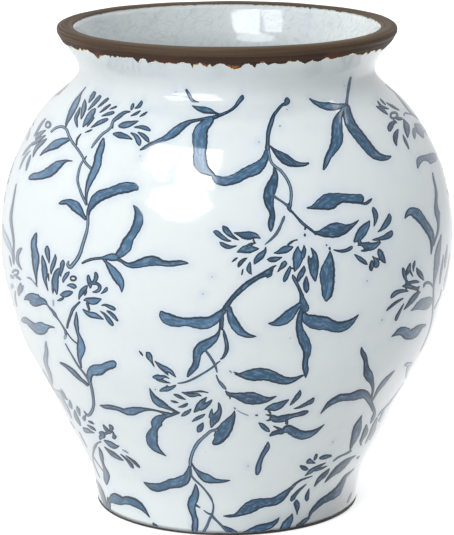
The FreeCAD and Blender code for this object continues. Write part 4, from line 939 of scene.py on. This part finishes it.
def smooth_line(pts):
    """A Catmull-Rom line through (x, y, width), evenly resampled, with rounded ends."""
    p = np.array(pts, float)
    if len(p) == 1:
        p = np.vstack([p - [p[0, 2] / 4, 0, 0], p + [p[0, 2] / 4, 0, 0]])
    if len(p) == 2:
        t = np.linspace(0, 1, 17)[:, None]
        c = p[0] * (1 - t) + p[1] * t
    else:
        q = np.vstack([2 * p[0] - p[1], p, 2 * p[-1] - p[-2]])
        t = np.linspace(0, 1, 14, endpoint=False)[:, None]
        c = []
        for i in range(1, len(q) - 2):
            a, b, d, e = q[i - 1], q[i], q[i + 1], q[i + 2]
            c.append(0.5 * (2 * b + (d - a) * t + (2 * a - 5 * b + 4 * d - e) * t ** 2 + (3 * b - a - 3 * d + e) * t ** 3))
        c = np.vstack(c + [p[-1:]])
    c[:, 2] = np.maximum(c[:, 2] + 0.35, 0.8)
    # round caps reach a little past both ends
    a, b = c[0].copy(), c[-1].copy()
    ta, tb = c[0, :2] - c[1, :2], c[-1, :2] - c[-2, :2]
    ta, tb = ta / (np.linalg.norm(ta) + 1e-9), tb / (np.linalg.norm(tb) + 1e-9)
    a[:2] += ta * a[2] * 0.22
    b[:2] += tb * b[2] * 0.22
    c = np.vstack([a, c, b])
    s = np.concatenate([[0], np.cumsum(np.hypot(*np.diff(c[:, :2], axis=0).T))])
    n = max(9, int(s[-1] / 0.95) + 1)
    ends = np.linspace(0, s[-1], n)
    cap_a, cap_b = 0.45 * a[2], 0.45 * b[2]
    extra = np.concatenate([np.array([0.06, 0.25, 0.55]) * cap_a, s[-1] - np.array([0.06, 0.25, 0.55]) * cap_b])
    ends = np.unique(np.round(np.concatenate([ends, extra]), 4))
    ends = ends[(ends >= 0) & (ends <= s[-1])]
    line = np.stack([np.interp(ends, s, c[:, k]) for k in range(3)], 1)
    da = np.clip(ends / max(cap_a, 1e-6), 0, 1)
    db = np.clip((s[-1] - ends) / max(cap_b, 1e-6), 0, 1)
    line[:, 2] *= np.sqrt(np.maximum(1 - (1 - da) ** 2, 0.004)) * np.sqrt(np.maximum(1 - (1 - db) ** 2, 0.004))
    return line, ends, s[-1]


def stroke_parts(pts, fill, side, pale, order, lift):
    """Vertices in picture coordinates, their lifts, faces and paint values for one stroke."""
    line, along, total = smooth_line(pts)
    w = line[:, 2]
    wmax = w.max()
    cols = 5 if wmax < 2.2 else 7 if wmax < 6 else 9
    sv = np.sin(np.linspace(-1, 1, cols) * math.pi / 2)
    t = np.gradient(line[:, :2], axis=0)
    t /= np.linalg.norm(t, axis=1)[:, None] + 1e-9
    if len(t) > 6:
        k = np.array([1, 2, 3, 2, 1]) / 9.0
        pad = np.vstack([t[:1], t[:1], t, t[-1:], t[-1:]])
        t = np.stack([np.convolve(pad[:, i], k, "valid") for i in range(2)], 1)
        t /= np.linalg.norm(t, axis=1)[:, None] + 1e-9
    nrm = np.stack([-t[:, 1], t[:, 0]], 1)          # to the right of travel, as y grows downwards
    jit = 1 + 0.025 * np.sin(along * 0.9 + order) + 0.02 * np.sin(along * 2.3 + 2 * order)
    half = w / 2 * jit
    top = line[:, None, :2] + nrm[:, None, :] * (sv[None, :] * half[:, None])[..., None]
    under = line[:, None, :2] + nrm[:, None, :] * (np.array([0.72, -0.72])[None, :] * half[:, None])[..., None]
    grid = np.concatenate([top, under], 1)
    m = cols + 2
    n = len(line)
    body = np.minimum(1, half / 1.2)[:, None]
    h_top = (0.035 + 0.075 * body) * (1 - np.abs(sv)[None, :] ** 5) - 0.03
    h_top = h_top + lift * (1 - np.abs(sv)[None, :] ** 8)
    h = np.concatenate([h_top, np.full((n, 2), -0.22)], 1)
    h[0, :], h[-1, :] = -0.12, -0.12
    s_all = np.concatenate([sv, [0.72, -0.72]])
    across = s_all[None, :] * half[:, None]
    edge = (1 - np.abs(s_all))[None, :] * half[:, None]
    tip = np.minimum(along, total - along)
    edge = np.minimum(edge, tip[:, None] + 0.0)
    line_w = np.full((n, m), 1.0) * np.clip(0.55 + 0.45 * (half[:, None] * PX) / 1.6, 0.6, 1.0)
    if side > 0:
        line_w = line_w + side * 0.9 * (across > 0) * np.minimum(1, np.abs(s_all) * 2)[None, :]
    elif side < 0:
        line_w = line_w - side * 0.9 * (across < 0) * np.minimum(1, np.abs(s_all) * 2)[None, :]
    r0 = rand(order, 1)
    wash = WASHES[int(rand(order, 2) * 4.999)] * (0.88 + 0.24 * r0)
    ink = INK * (0.9 + 0.3 * rand(order, 3))
    kind = fill[0]
    if kind == "d":
        wash = INK * 0.55 + WASHES[2] * 0.45
        line_w = line_w * 0.95
    elif kind == "o":
        wash = tone((112, 140, 164))
        line_w = np.minimum(line_w, np.maximum(0.42, half[:, None] * PX * 0.62))
    elif kind == "l":
        wash = WASH_LIGHT
        ink = INK_SOFT
        line_w = line_w * 0.8
    elif kind == "m":
        wash = WASH_MID
        ink = INK_SOFT
    elif kind == "k":
        wash = tone((120, 118, 112))
        ink = tone((86, 84, 80))
        line_w = line_w * 0.3
    step = None
    if len(fill) > 1:
        step = float(fill[1])
    elif kind in "bd" and wmax >= 3.55:
        # painted light and shade on the strokes: paler towards the lit left side, darker over the middle and right, and
        # a random tone so that no two strokes are alike
        x = float(np.mean([q[0] for q in pts]))
        step = 3.9 - 2.1 * min(max((x - 70.0) / 170.0, 0.0), 1.0) - (0.7 if kind == "d" else 0.0) + 2.0 * (rand(order, 5) - 0.5)
    if step is not None:
        step = min(max(step, 0.0), 5.999)
        low = int(step)
        wash = (TONES[low] * (1 - step + low) + TONES[low + 1] * (step - low)) * (0.97 + 0.06 * r0)
    wash = wash * (1 - pale * 0.75) + PALE * pale * 0.75
    ink = ink * (1 - pale * 0.6) + PALE * pale * 0.6
    faces = []
    for i in range(n - 1):
        a, b = i * m, (i + 1) * m
        for j in range(m):
            k = (j + 1) % m
            faces.append((a + j, a + k, b + k, b + j))
    faces.append(tuple(range(m))[::-1])
    faces.append(tuple((n - 1) * m + j for j in range(m)))
    paint = {
        "b_u": np.repeat(along, m) * PX,
        "b_v": across.ravel() * PX,
        "b_edge": np.maximum(edge, 0).ravel() * PX,
        "b_line": line_w.ravel(),
        "b_seed": np.full(n * m, order * 7.31),
        "b_wash": np.tile(np.append(wash, 1.0), (n * m, 1)),
        "b_ink": np.tile(np.append(ink, 1.0), (n * m, 1)),
    }
    return grid.reshape(-1, 2), h.ravel(), faces, paint


def parse(text):
    return [tuple(float(v) for v in p.split(",")) for p in text.split()]


PAINT = brush_material()
halo_points = []
order = 0
brush_objects = []
PANELS = [(group, strokes, (("", 0.0), ("_back", math.pi))) for group, strokes in STROKES.items()]
PANELS += [(group, strokes, (("_right", math.pi / 2), ("_left", -math.pi / 2))) for group, strokes in SIDE_STROKES.items()]
for group, strokes, turns in PANELS:
    px, lifts, faces, paints, base, sizes = [], [], [], [], 0, []
    for fill, side, pale, text in strokes:
        order += 1
        pts = parse(text)
        g, h, f, paint = stroke_parts(pts, fill, side, pale, order, 0.0025 * (len(sizes) % 14))
        px.append(g)
        lifts.append(h)
        faces += [tuple(i + base for i in face) for face in f]
        paints.append(paint)
        base += len(g)
        sizes.append(len(g))
    px, lifts = np.vstack(px), np.concatenate(lifts)
    theta, z = onto_vase(px[:, 0], px[:, 1])
    values = {k: np.concatenate([p[k] for p in paints]) for k in paints[0]}
    for suffix, turn in turns:
        halo_points.append(np.stack([theta + turn, z], 1)[::3])
        ob = make_object("brushwork_" + group + suffix, place(theta + turn, z, lifts), faces)
        for k, v in values.items():
            put(ob, k, v)
        ob.data.materials.append(PAINT)
        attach(ob, "root")
        brush_objects.append(ob)

# ---------------------------------------------------------------- outer glaze coat
N_T, N_Z = 456, 184
zs = by_length(OUT_FINE[OUT_FINE[:, 1] <= 282.6], N_Z, 60.0)
zs[:, 1] = np.clip(zs[:, 1], 1.3, None)
T = np.linspace(-math.pi, math.pi, N_T, endpoint=False)
inner_rows = zs[::-6]
tt, zz = np.meshgrid(T, zs[:, 1], indexing="ij")
front = place(tt, zz, np.zeros_like(tt))
ti, zi = np.meshgrid(T, inner_rows[:, 1], indexing="ij")
behind = place(ti, zi, np.full_like(ti, -COAT))
grid = np.concatenate([front, behind], 1)
m = grid.shape[1]
faces = []
for i in range(N_T):
    a, b = i * m, ((i + 1) % N_T) * m
    for j in range(m):
        k = (j + 1) % m
        faces.append((a + j, b + j, b + k, a + k))
glaze = make_object("glaze_coat_outside", grid.reshape(-1, 3), faces)
hp = np.vstack(halo_points)
hx = np.stack([hp[:, 0] % (2 * math.pi) * 125, hp[:, 1]], 1)
cell = 6.0
keys = {}
for q in hx:
    keys.setdefault((int(q[0] // cell), int(q[1] // cell)), []).append(q)
keys = {k: np.array(v) for k, v in keys.items()}
flat = np.stack([(tt % (2 * math.pi)).ravel() * 125, zz.ravel()], 1)
near = np.full(len(flat), 99.0)
cells = (flat // cell).astype(int)
groups = {}
for i, c in enumerate(map(tuple, cells)):
    groups.setdefault(c, []).append(i)
for c, idx in groups.items():
    close = [keys[(c[0] + i, c[1] + j)] for i in (-1, 0, 1) for j in (-1, 0, 1) if (c[0] + i, c[1] + j) in keys]
    if close:
        q = np.vstack(close)
        d = np.hypot(flat[idx, None, 0] - q[None, :, 0], flat[idx, None, 1] - q[None, :, 1]).min(1)
        near[idx] = d
halo = np.zeros((N_T, m))
halo[:, :N_Z] = (0.40 * np.exp(-(near / 2.6) ** 2)).reshape(N_T, N_Z)
put(glaze, "halo", halo.ravel())
# painted shade: darker in the neck and towards the foot, most of it on the right
foot_painted_shade = 0.10 + 0.38 / (1 + np.exp(-(T - 0.32) / 0.13)) * (T < 1.75) + 0.12 * (T >= 1.75)
foot_painted_shade = np.convolve(np.pad(foot_painted_shade, 20, "wrap"), np.ones(41) / 41, "valid")
foot_painted_shade = foot_painted_shade * np.where(T < -0.3, 0.35 + 0.65 * np.clip((-T - 1.6) / 0.6, 0, 1), 1.0)
neck_painted_shade = 0.13 * (1 - 0.62 * np.exp(-((T + 0.12) / 0.36) ** 2))
shade = np.zeros((N_T, m))
zf = zs[:, 1][None, :]
shade[:, :N_Z] = foot_painted_shade[:, None] * np.exp(-(zf / 15.0) ** 2) + neck_painted_shade[:, None] * np.exp(-((zf - 266) / 13.0) ** 4)
put(glaze, "shade", shade.ravel())
glaze.data.materials.append(glaze_material("tin_glaze_outside", False))
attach(glaze, "root")
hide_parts("outer_glaze")

# ---------------------------------------------------------------- inner glaze coat
inz = by_length(IN_FINE, 110)
inz[:, 0] = np.maximum(inz[:, 0], 0.0)


def inner_point(theta, r, z, lift):
    wob = 0.12 * np.sin(3 * theta + z * 0.03) + 0.08 * np.sin(5 * theta - z * 0.05 + 1)
    rings = 0.10 * np.sin(z * 0.55 + 0.6 * np.sin(theta))
    k = np.clip((z - 20) / 20, 0, 1) * np.clip((286 - z) / 8, 0, 1)
    return r + (wob + rings) * k + lift


N_I = 300
TI = np.linspace(-math.pi, math.pi, N_I, endpoint=False)
rows = inz[1:]
d = np.gradient(rows, axis=0)
d /= np.linalg.norm(d, axis=1)[:, None]
nr, nz = d[:, 1], -d[:, 0]                # away from the hollow, into the clay
back_rows = (rows + np.stack([nr, nz], 1) * COAT)[::-5]
sec = []
for t in TI:
    r = inner_point(t, rows[:, 0], rows[:, 1], 0)
    s = np.stack([r, rows[:, 1]], 1)
    rb = inner_point(t, back_rows[:, 0], back_rows[:, 1], 0)
    sec.append(np.vstack([s, np.stack([rb, back_rows[:, 1]], 1)]))
sec = np.array(sec)
mi = sec.shape[1]
v = np.stack([sec[..., 0] * np.sin(TI)[:, None], -sec[..., 0] * np.cos(TI)[:, None], sec[..., 1]], -1).reshape(-1, 3)
v = np.vstack([v, [[0, 0, 13.0], [0, 0, 13.0 - COAT]]]) / 1000.0
faces = []
for i in range(N_I):
    a, b = i * mi, ((i + 1) % N_I) * mi
    for j in range(mi - 1):
        faces.append((a + j, a + j + 1, b + j + 1, b + j))
    faces.append((a, b, N_I * mi))
    faces.append((b + mi - 1, a + mi - 1, N_I * mi + 1))
inside = make_object("glaze_coat_inside", v, faces)
# painted light and shade inside: the lit mask is high on the inner right wall towards the top and low on the left
lit = np.zeros((N_I, mi))
zi_all = sec[0, :, 1]
swing = 0.28 + 0.86 * np.exp(-((TI - 1.75) / 0.75) ** 2) - 0.28 * np.exp(-((TI + 2.0) / 0.7) ** 2)
lit[:] = 0.28 + (swing[:, None] - 0.28) * np.clip((zi_all[None, :] - 190) / 60, 0, 1)
put(inside, "lit", np.append(lit.ravel(), [0.28, 0.28]))
inside.data.materials.append(glaze_material("tin_glaze_inside", True))
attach(inside, "root")
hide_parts("inner_glaze")

# ---------------------------------------------------------------- brown slip on the rim, with its ragged lower edge as seen at the front
RIM_EDGE = """
67.5,43.6 78.1,49.9 80.6,47.8 81.9,50.3 84.4,49.3 87.8,49.5 89.4,51.5 93.1,53 96.3,56.1 98.5,59 99.8,55.5
104.4,54.9 109.4,55.5 111.3,58 112.3,55.3 115.6,57.4 117.5,56.1 124.4,57.8 126.3,56.8 130.6,58 131.9,56.8
135,59.3 138.5,63 140,59.3 142,58.3 146,59.2 148,63 150,61.8 153.8,61.8 155.6,59.9 158.1,61.8 163.8,63
168,62.4 176.9,63.6 182.5,61.5 185.6,63 190.6,63 192.5,68.6 193.8,63.6 196.3,64.9 200,62.4 202.5,64.9
206.9,66.5 210,63.6 211.9,66.8 215.6,64.3 218.8,63.4 223.8,63.6 228,66.6 230,67.4 235.6,69.3 240.6,67.4
243,64.9 245.6,63.6 249.4,63.4 251.9,64.9 255,68 256.5,63.6 260.6,63 265,62.4 268,64.9 272.5,63.6 274.4,62.4
278.8,64 286.3,63 288.8,60.5 295,61.8 297.5,59.9 304.4,63.6 308.8,61.8 312.5,59.9 317.5,61.8 323.8,58.6
327.5,57 331.3,59 336.3,57.4 343.8,56.1 350,54.3 353,52.8 356.3,54.3 363,54.3 366.9,51.8 368,54.3 371,51
375,49.9 376.3,51.8 378,49.3 381,48.6 381.9,50.3 385,47.8 388.8,45.5
"""


def parse_pairs(text):
    return np.array([[float(v) for v in p.split(",")] for p in text.split()])


def bumps(theta, count, lo, hi, w_lo, w_hi, key):
    """Rounded teeth at repeatable places round the rim, mm."""
    v = np.zeros_like(theta)
    for i in range(count):
        c = (i + rand(i, key)) / count * 2 * math.pi - math.pi
        a = lo + (hi - lo) * rand(i, key + 1) ** 2.2
        w = (w_lo + (w_hi - w_lo) * rand(i, key + 2)) / 95.0
        d = (theta - c + math.pi) % (2 * math.pi) - math.pi
        v = np.maximum(v, a * np.exp(-np.abs(d / w) ** 2.4))
    return v


N_R = 1500
TR = np.linspace(-math.pi, math.pi, N_R, endpoint=False)
teeth = bumps(TR, 120, 0.2, 2.2, 0.7, 2.0, 11)
bites = bumps(TR, 70, 0.0, 1.9, 0.8, 3.2, 23)
low_edge = 280.6 - teeth + bites - 0.5 * (np.sin(9 * TR + 1) * 0.5 + np.sin(17 * TR) * 0.3)
SEEN_EDGE = parse_pairs(RIM_EDGE)
et, ez = onto_vase(SEEN_EDGE[:, 0], SEEN_EDGE[:, 1])
seen = np.interp(TR, et, ez)
jag = 0.22 * np.sin(TR * 95 * 2.1) * np.sin(TR * 95 * 0.77 + 1) + 0.12 * np.sin(TR * 95 * 3.7 + 2)
lo_t, hi_t = et[0], et[-1]
blend = np.clip((TR - lo_t) / 0.08, 0, 1) * np.clip((hi_t - TR) / 0.08, 0, 1)
low_edge = low_edge * (1 - blend) + (seen + jag) * blend
drop = np.zeros(N_R)
for x, y, wide, much in ((235.6, 67, 2.6, 1.0), (229.5, 66, 1.2, 0.8), (98.3, 57, 0.9, 1.0), (197, 64, 1.1, 0.8), (205, 64, 1.8, 0.7), (262, 62, 1.3, 0.8),
                         (210, 64, 0.7, 0.5), (72, 46, 1.4, 0.8), (76, 48.5, 1.0, 0.7), (366, 52.5, 0.8, 0.8)):
    t0, _ = onto_vase([x], [y])
    drop = np.maximum(drop, much * np.exp(-(np.abs(TR - t0[0]) * 95 / wide) ** 4))
back_drop = bumps(TR, 16, 0.0, 1.0, 0.8, 2.2, 71)
drop = np.where(np.abs(TR) > 1.4, np.maximum(drop, back_drop), drop)
low_edge = np.clip(low_edge, 275.0, 283.2) - 0.55
lip_line = by_length(LIP_FINE, 22)
flaky = np.exp(-((TR - 2.35) / 0.62) ** 4)
skirt = 0.45 + bumps(TR, 150, 0.0, 0.5, 0.4, 1.4, 91) + flaky * (bumps(TR, 110, 0.1, 1.3, 0.5, 1.5, 97) - 0.1)
secs, arcs, edges, inners, drops = [], [], [], [], []
crease = 11
for i, t in enumerate(TR):
    ze = low_edge[i]
    za = np.array([ze, ze + 0.12, ze + 0.35, ze + 0.7])
    zb = np.linspace(ze + 0.7, 284.6, 9)[1:]
    z_out = np.concatenate([za, zb])
    r_out = radius_at(z_out) + thrown(np.full_like(z_out, t), z_out)
    proud = np.array([-0.05, 0.10, 0.20, 0.24] + [0.24 - 0.24 * k / 8 for k in range(1, 9)])
    outer = np.stack([r_out + proud, z_out], 1)
    lip = lip_line[1:].copy()
    wave = 0.10 * math.sin(3 * t + 1) + 0.08 * math.sin(7 * t) + 0.05 * math.sin(16 * t + 2)
    fade = np.linspace(0, 1, len(lip)) * (1 - np.linspace(0, 1, len(lip))) * 4
    lip[:, 1] += wave * fade
    # a little way down the inside, with a ragged edge
    d = skirt[i]
    zk = 288.0 - d * np.array([0.3, 0.65, 0.9, 1.0])
    hang = np.stack([np.interp(zk, IN_FINE[:, 1], IN_FINE[:, 0]) + np.array([-0.10, -0.14, -0.09, 0.12]), zk], 1)
    lip = np.vstack([lip, hang])
    # down behind, inside the clay
    tail = np.array([[92.2, 286.2], [95.2, 283.0], [r_out[0] - 1.4, ze + 0.4], [r_out[0] - 0.7, ze - 0.1]])
    s = np.vstack([outer, lip, tail])
    secs.append(s)
    seg = np.concatenate([[0], np.cumsum(np.hypot(*np.diff(s, axis=0).T))])
    arcs.append(seg - seg[crease] + 6.0)
    e = np.full(len(s), 9.0)
    e[:len(outer)] = seg[:len(outer)]
    edges.append(e)
    q = np.full(len(s), 9.0)
    q[len(outer):len(outer) + len(lip)] = seg[len(outer) + len(lip) - 1] - seg[len(outer):len(outer) + len(lip)]
    q[len(outer) + len(lip):] = 0
    inners.append(q)
    dr = np.zeros(len(s))
    dr[:7] = drop[i] * np.array([1, 1, 1, 1, 0.85, 0.4, 0.1])
    drops.append(dr)
secs = np.array(secs)
ms = secs.shape[1]
v = np.stack([secs[..., 0] * np.sin(TR)[:, None], -secs[..., 0] * np.cos(TR)[:, None], secs[..., 1]], -1).reshape(-1, 3) / 1000.0
faces = []
for i in range(N_R):
    a, b = i * ms, ((i + 1) % N_R) * ms
    for j in range(ms):
        k = (j + 1) % ms
        faces.append((a + j, b + j, b + k, a + k))
rim = make_object("brown_slip_rim", v, faces)
put(rim, "arc", np.array(arcs).ravel())
put(rim, "rim_edge", np.array(edges).ravel())
put(rim, "inner_edge", np.array(inners).ravel())
put(rim, "drop", np.array(drops).ravel())
rim.data.materials.append(rim_material())
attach(rim, "root")
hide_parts("rim_slip")

# ---------------------------------------------------------------- brown line round the foot
N_F = 720
TF = np.linspace(-math.pi, math.pi, N_F, endpoint=False)
lift = 1.9 + 0.25 * np.sin(2 * TF - 0.6) + 0.35 * np.sin(TF - 0.2) + bumps(TF, 60, 0.0, 0.9, 1.0, 3.0, 41)
secs = []
for i, t in enumerate(TF):
    zt = lift[i]
    rt = float(radius_at(zt)) + float(thrown(np.array([t]), np.array([zt]))[0])
    secs.append([(77.0, 0.28), (77.65, 0.30), (78.05, 0.75), (78.33, 1.3), (rt + 0.12, max(zt - 0.3, 1.4)), (rt - 0.03, zt + 0.1),
                 (rt - 0.5, zt), (77.5, 1.2), (77.0, 0.8)])
secs = np.array(secs)
ms = secs.shape[1]
v = np.stack([secs[..., 0] * np.sin(TF)[:, None], -secs[..., 0] * np.cos(TF)[:, None], secs[..., 1]], -1).reshape(-1, 3) / 1000.0
faces = []
for i in range(N_F):
    a, b = i * ms, ((i + 1) % N_F) * ms
    for j in range(ms):
        k = (j + 1) % ms
        faces.append((a + j, b + j, b + k, a + k))
foot = make_object("brown_slip_foot", v, faces)
foot.data.materials.append(foot_material())
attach(foot, "root")
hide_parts("foot_slip")

# ---------------------------------------------------------------- bare clay
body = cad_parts["clay_body"]
body.data.materials.clear()
body.data.materials.append(clay_material())

# ---------------------------------------------------------------- stage, light and camera
bpy.ops.mesh.primitive_plane_add(size=80, location=(0, 0, 0))
floor = bpy.context.object
floor.name = "floor"
fm = Nodes("pale_floor")
fm.set("Base Color", (0.86, 0.86, 0.86, 1))
fm.set("Roughness", 0.9)
fm.set("Specular IOR Level", 0.0)
fm.set("Emission Color", (1, 1, 1, 1))
fm.set("Emission Strength", 0.55)
floor.data.materials.append(fm.mat)
floor.visible_glossy = False
floor.visible_diffuse = False

world = bpy.data.worlds.new("studio")
bpy.context.scene.world = world
world.use_nodes = True
wt = world.node_tree
wt.nodes.clear()
wo = wt.nodes.new("ShaderNodeOutputWorld")
bg = wt.nodes.new("ShaderNodeBackground")
tc = wt.nodes.new("ShaderNodeTexCoord")
sp = wt.nodes.new("ShaderNodeSeparateXYZ")
mr = wt.nodes.new("ShaderNodeMapRange")
mr.interpolation_type = "SMOOTHSTEP"
mr.inputs["From Min"].default_value = -0.9
mr.inputs["From Max"].default_value = 0.8
mr.inputs["To Min"].default_value = 0.745
mr.inputs["To Max"].default_value = 0.458
wt.links.new(tc.outputs["Generated"], sp.inputs[0])
wt.links.new(sp.outputs[0], mr.inputs["Value"])
mz = wt.nodes.new("ShaderNodeMapRange")
mz.interpolation_type = "SMOOTHSTEP"
mz.inputs["From Min"].default_value = -0.7
mz.inputs["From Max"].default_value = 1.0
mz.inputs["To Min"].default_value = 1.42
mz.inputs["To Max"].default_value = 1.38
wt.links.new(sp.outputs[2], mz.inputs["Value"])
mm = wt.nodes.new("ShaderNodeMath")
mm.operation = "MULTIPLY"
wt.links.new(mr.outputs["Result"], mm.inputs[0])
wt.links.new(mz.outputs["Result"], mm.inputs[1])

# the pale floor behind, thrown back low on the right


def world_step(value, a, b, lo, hi):
    n = wt.nodes.new("ShaderNodeMapRange")
    n.interpolation_type = "SMOOTHSTEP"
    n.inputs["From Min"].default_value = a
    n.inputs["From Max"].default_value = b
    n.inputs["To Min"].default_value = lo
    n.inputs["To Max"].default_value = hi
    wt.links.new(value, n.inputs["Value"])
    return n.outputs["Result"]


def world_math(op, a, b):
    n = wt.nodes.new("ShaderNodeMath")
    n.operation = op
    wt.links.new(a, n.inputs[0])
    wt.links.new(b, n.inputs[1])
    return n.outputs[0]


bounce = world_math("MULTIPLY", world_step(sp.outputs[1], 0.15, 0.7, 0.0, 0.48), world_step(sp.outputs[0], -0.1, 0.25, 0.2, 1.0))
bounce = world_math("MULTIPLY", bounce, world_step(sp.outputs[2], -0.3, -0.05, 1.0, 0.0))
wt.links.new(world_math("ADD", mm.outputs[0], bounce), bg.inputs["Strength"])
bg.inputs["Color"].default_value = (1, 1, 1, 1)
wt.links.new(bg.outputs[0], wo.inputs[0])


def area(name, az, el, dist, sx, sy, radiance, shape="RECTANGLE", colour=(1, 1, 1)):
    a, e = math.radians(az), math.radians(el)
    aim = Vector((0, 0, 0.17))
    direction = Vector((math.sin(a) * math.cos(e), -math.cos(a) * math.cos(e), math.sin(e)))
    li = bpy.data.lights.new(name, "AREA")
    li.shape = shape
    li.size, li.size_y = sx, sy
    li.color = colour
    size = sx * sy * (math.pi / 4 if shape == "ELLIPSE" else 1)
    li.energy = radiance * math.pi * size
    ob = bpy.data.objects.new(name, li)
    ob.location = aim + direction * dist
    ob.rotation_euler = direction.to_track_quat("Z", "Y").to_euler()
    bpy.context.scene.collection.objects.link(ob)
    return ob


area("window_key", -26, 28.8, 3.0, 1.76, 1.08, 2.95, "ELLIPSE")
area("window_pane_near", -19.5, 47.5, 3.0, 0.97, 1.04, 3.3)
area("window_pane_far", -47, 48, 3.0, 0.68, 0.84, 2.9)
area("back_strip", 120, 49, 1.5, 0.42, 0.07, 3.0)
SKY = (0.84, 0.94, 1.0)
for glint in (area("window_key_glint", -26, 28.8, 2.99, 1.72, 1.04, 1.6, "ELLIPSE", SKY),
              area("window_pane_near_glint", -19.5, 47.5, 2.99, 0.94, 1.01, 4.3, "RECTANGLE", SKY),
              area("window_pane_far_glint", -47, 48, 2.99, 0.66, 0.82, 3.0, "RECTANGLE", SKY)):
    glint.visible_diffuse = False

cam_data = bpy.data.cameras.new("camera")
cam_data.sensor_fit = "AUTO"
cam_data.sensor_width = 36
cam_data.lens = FOCAL * 36 / HIGH
cam = bpy.data.objects.new("camera", cam_data)
cam.location = (0, -1.67026, 0.52708)
cam.rotation_euler = (math.pi / 2 - PITCH, 0, 0)
bpy.context.scene.collection.objects.link(cam)
bpy.context.scene.camera = cam
bpy.context.scene.view_settings.view_transform = "Standard"

bpy.context.view_layer.update()
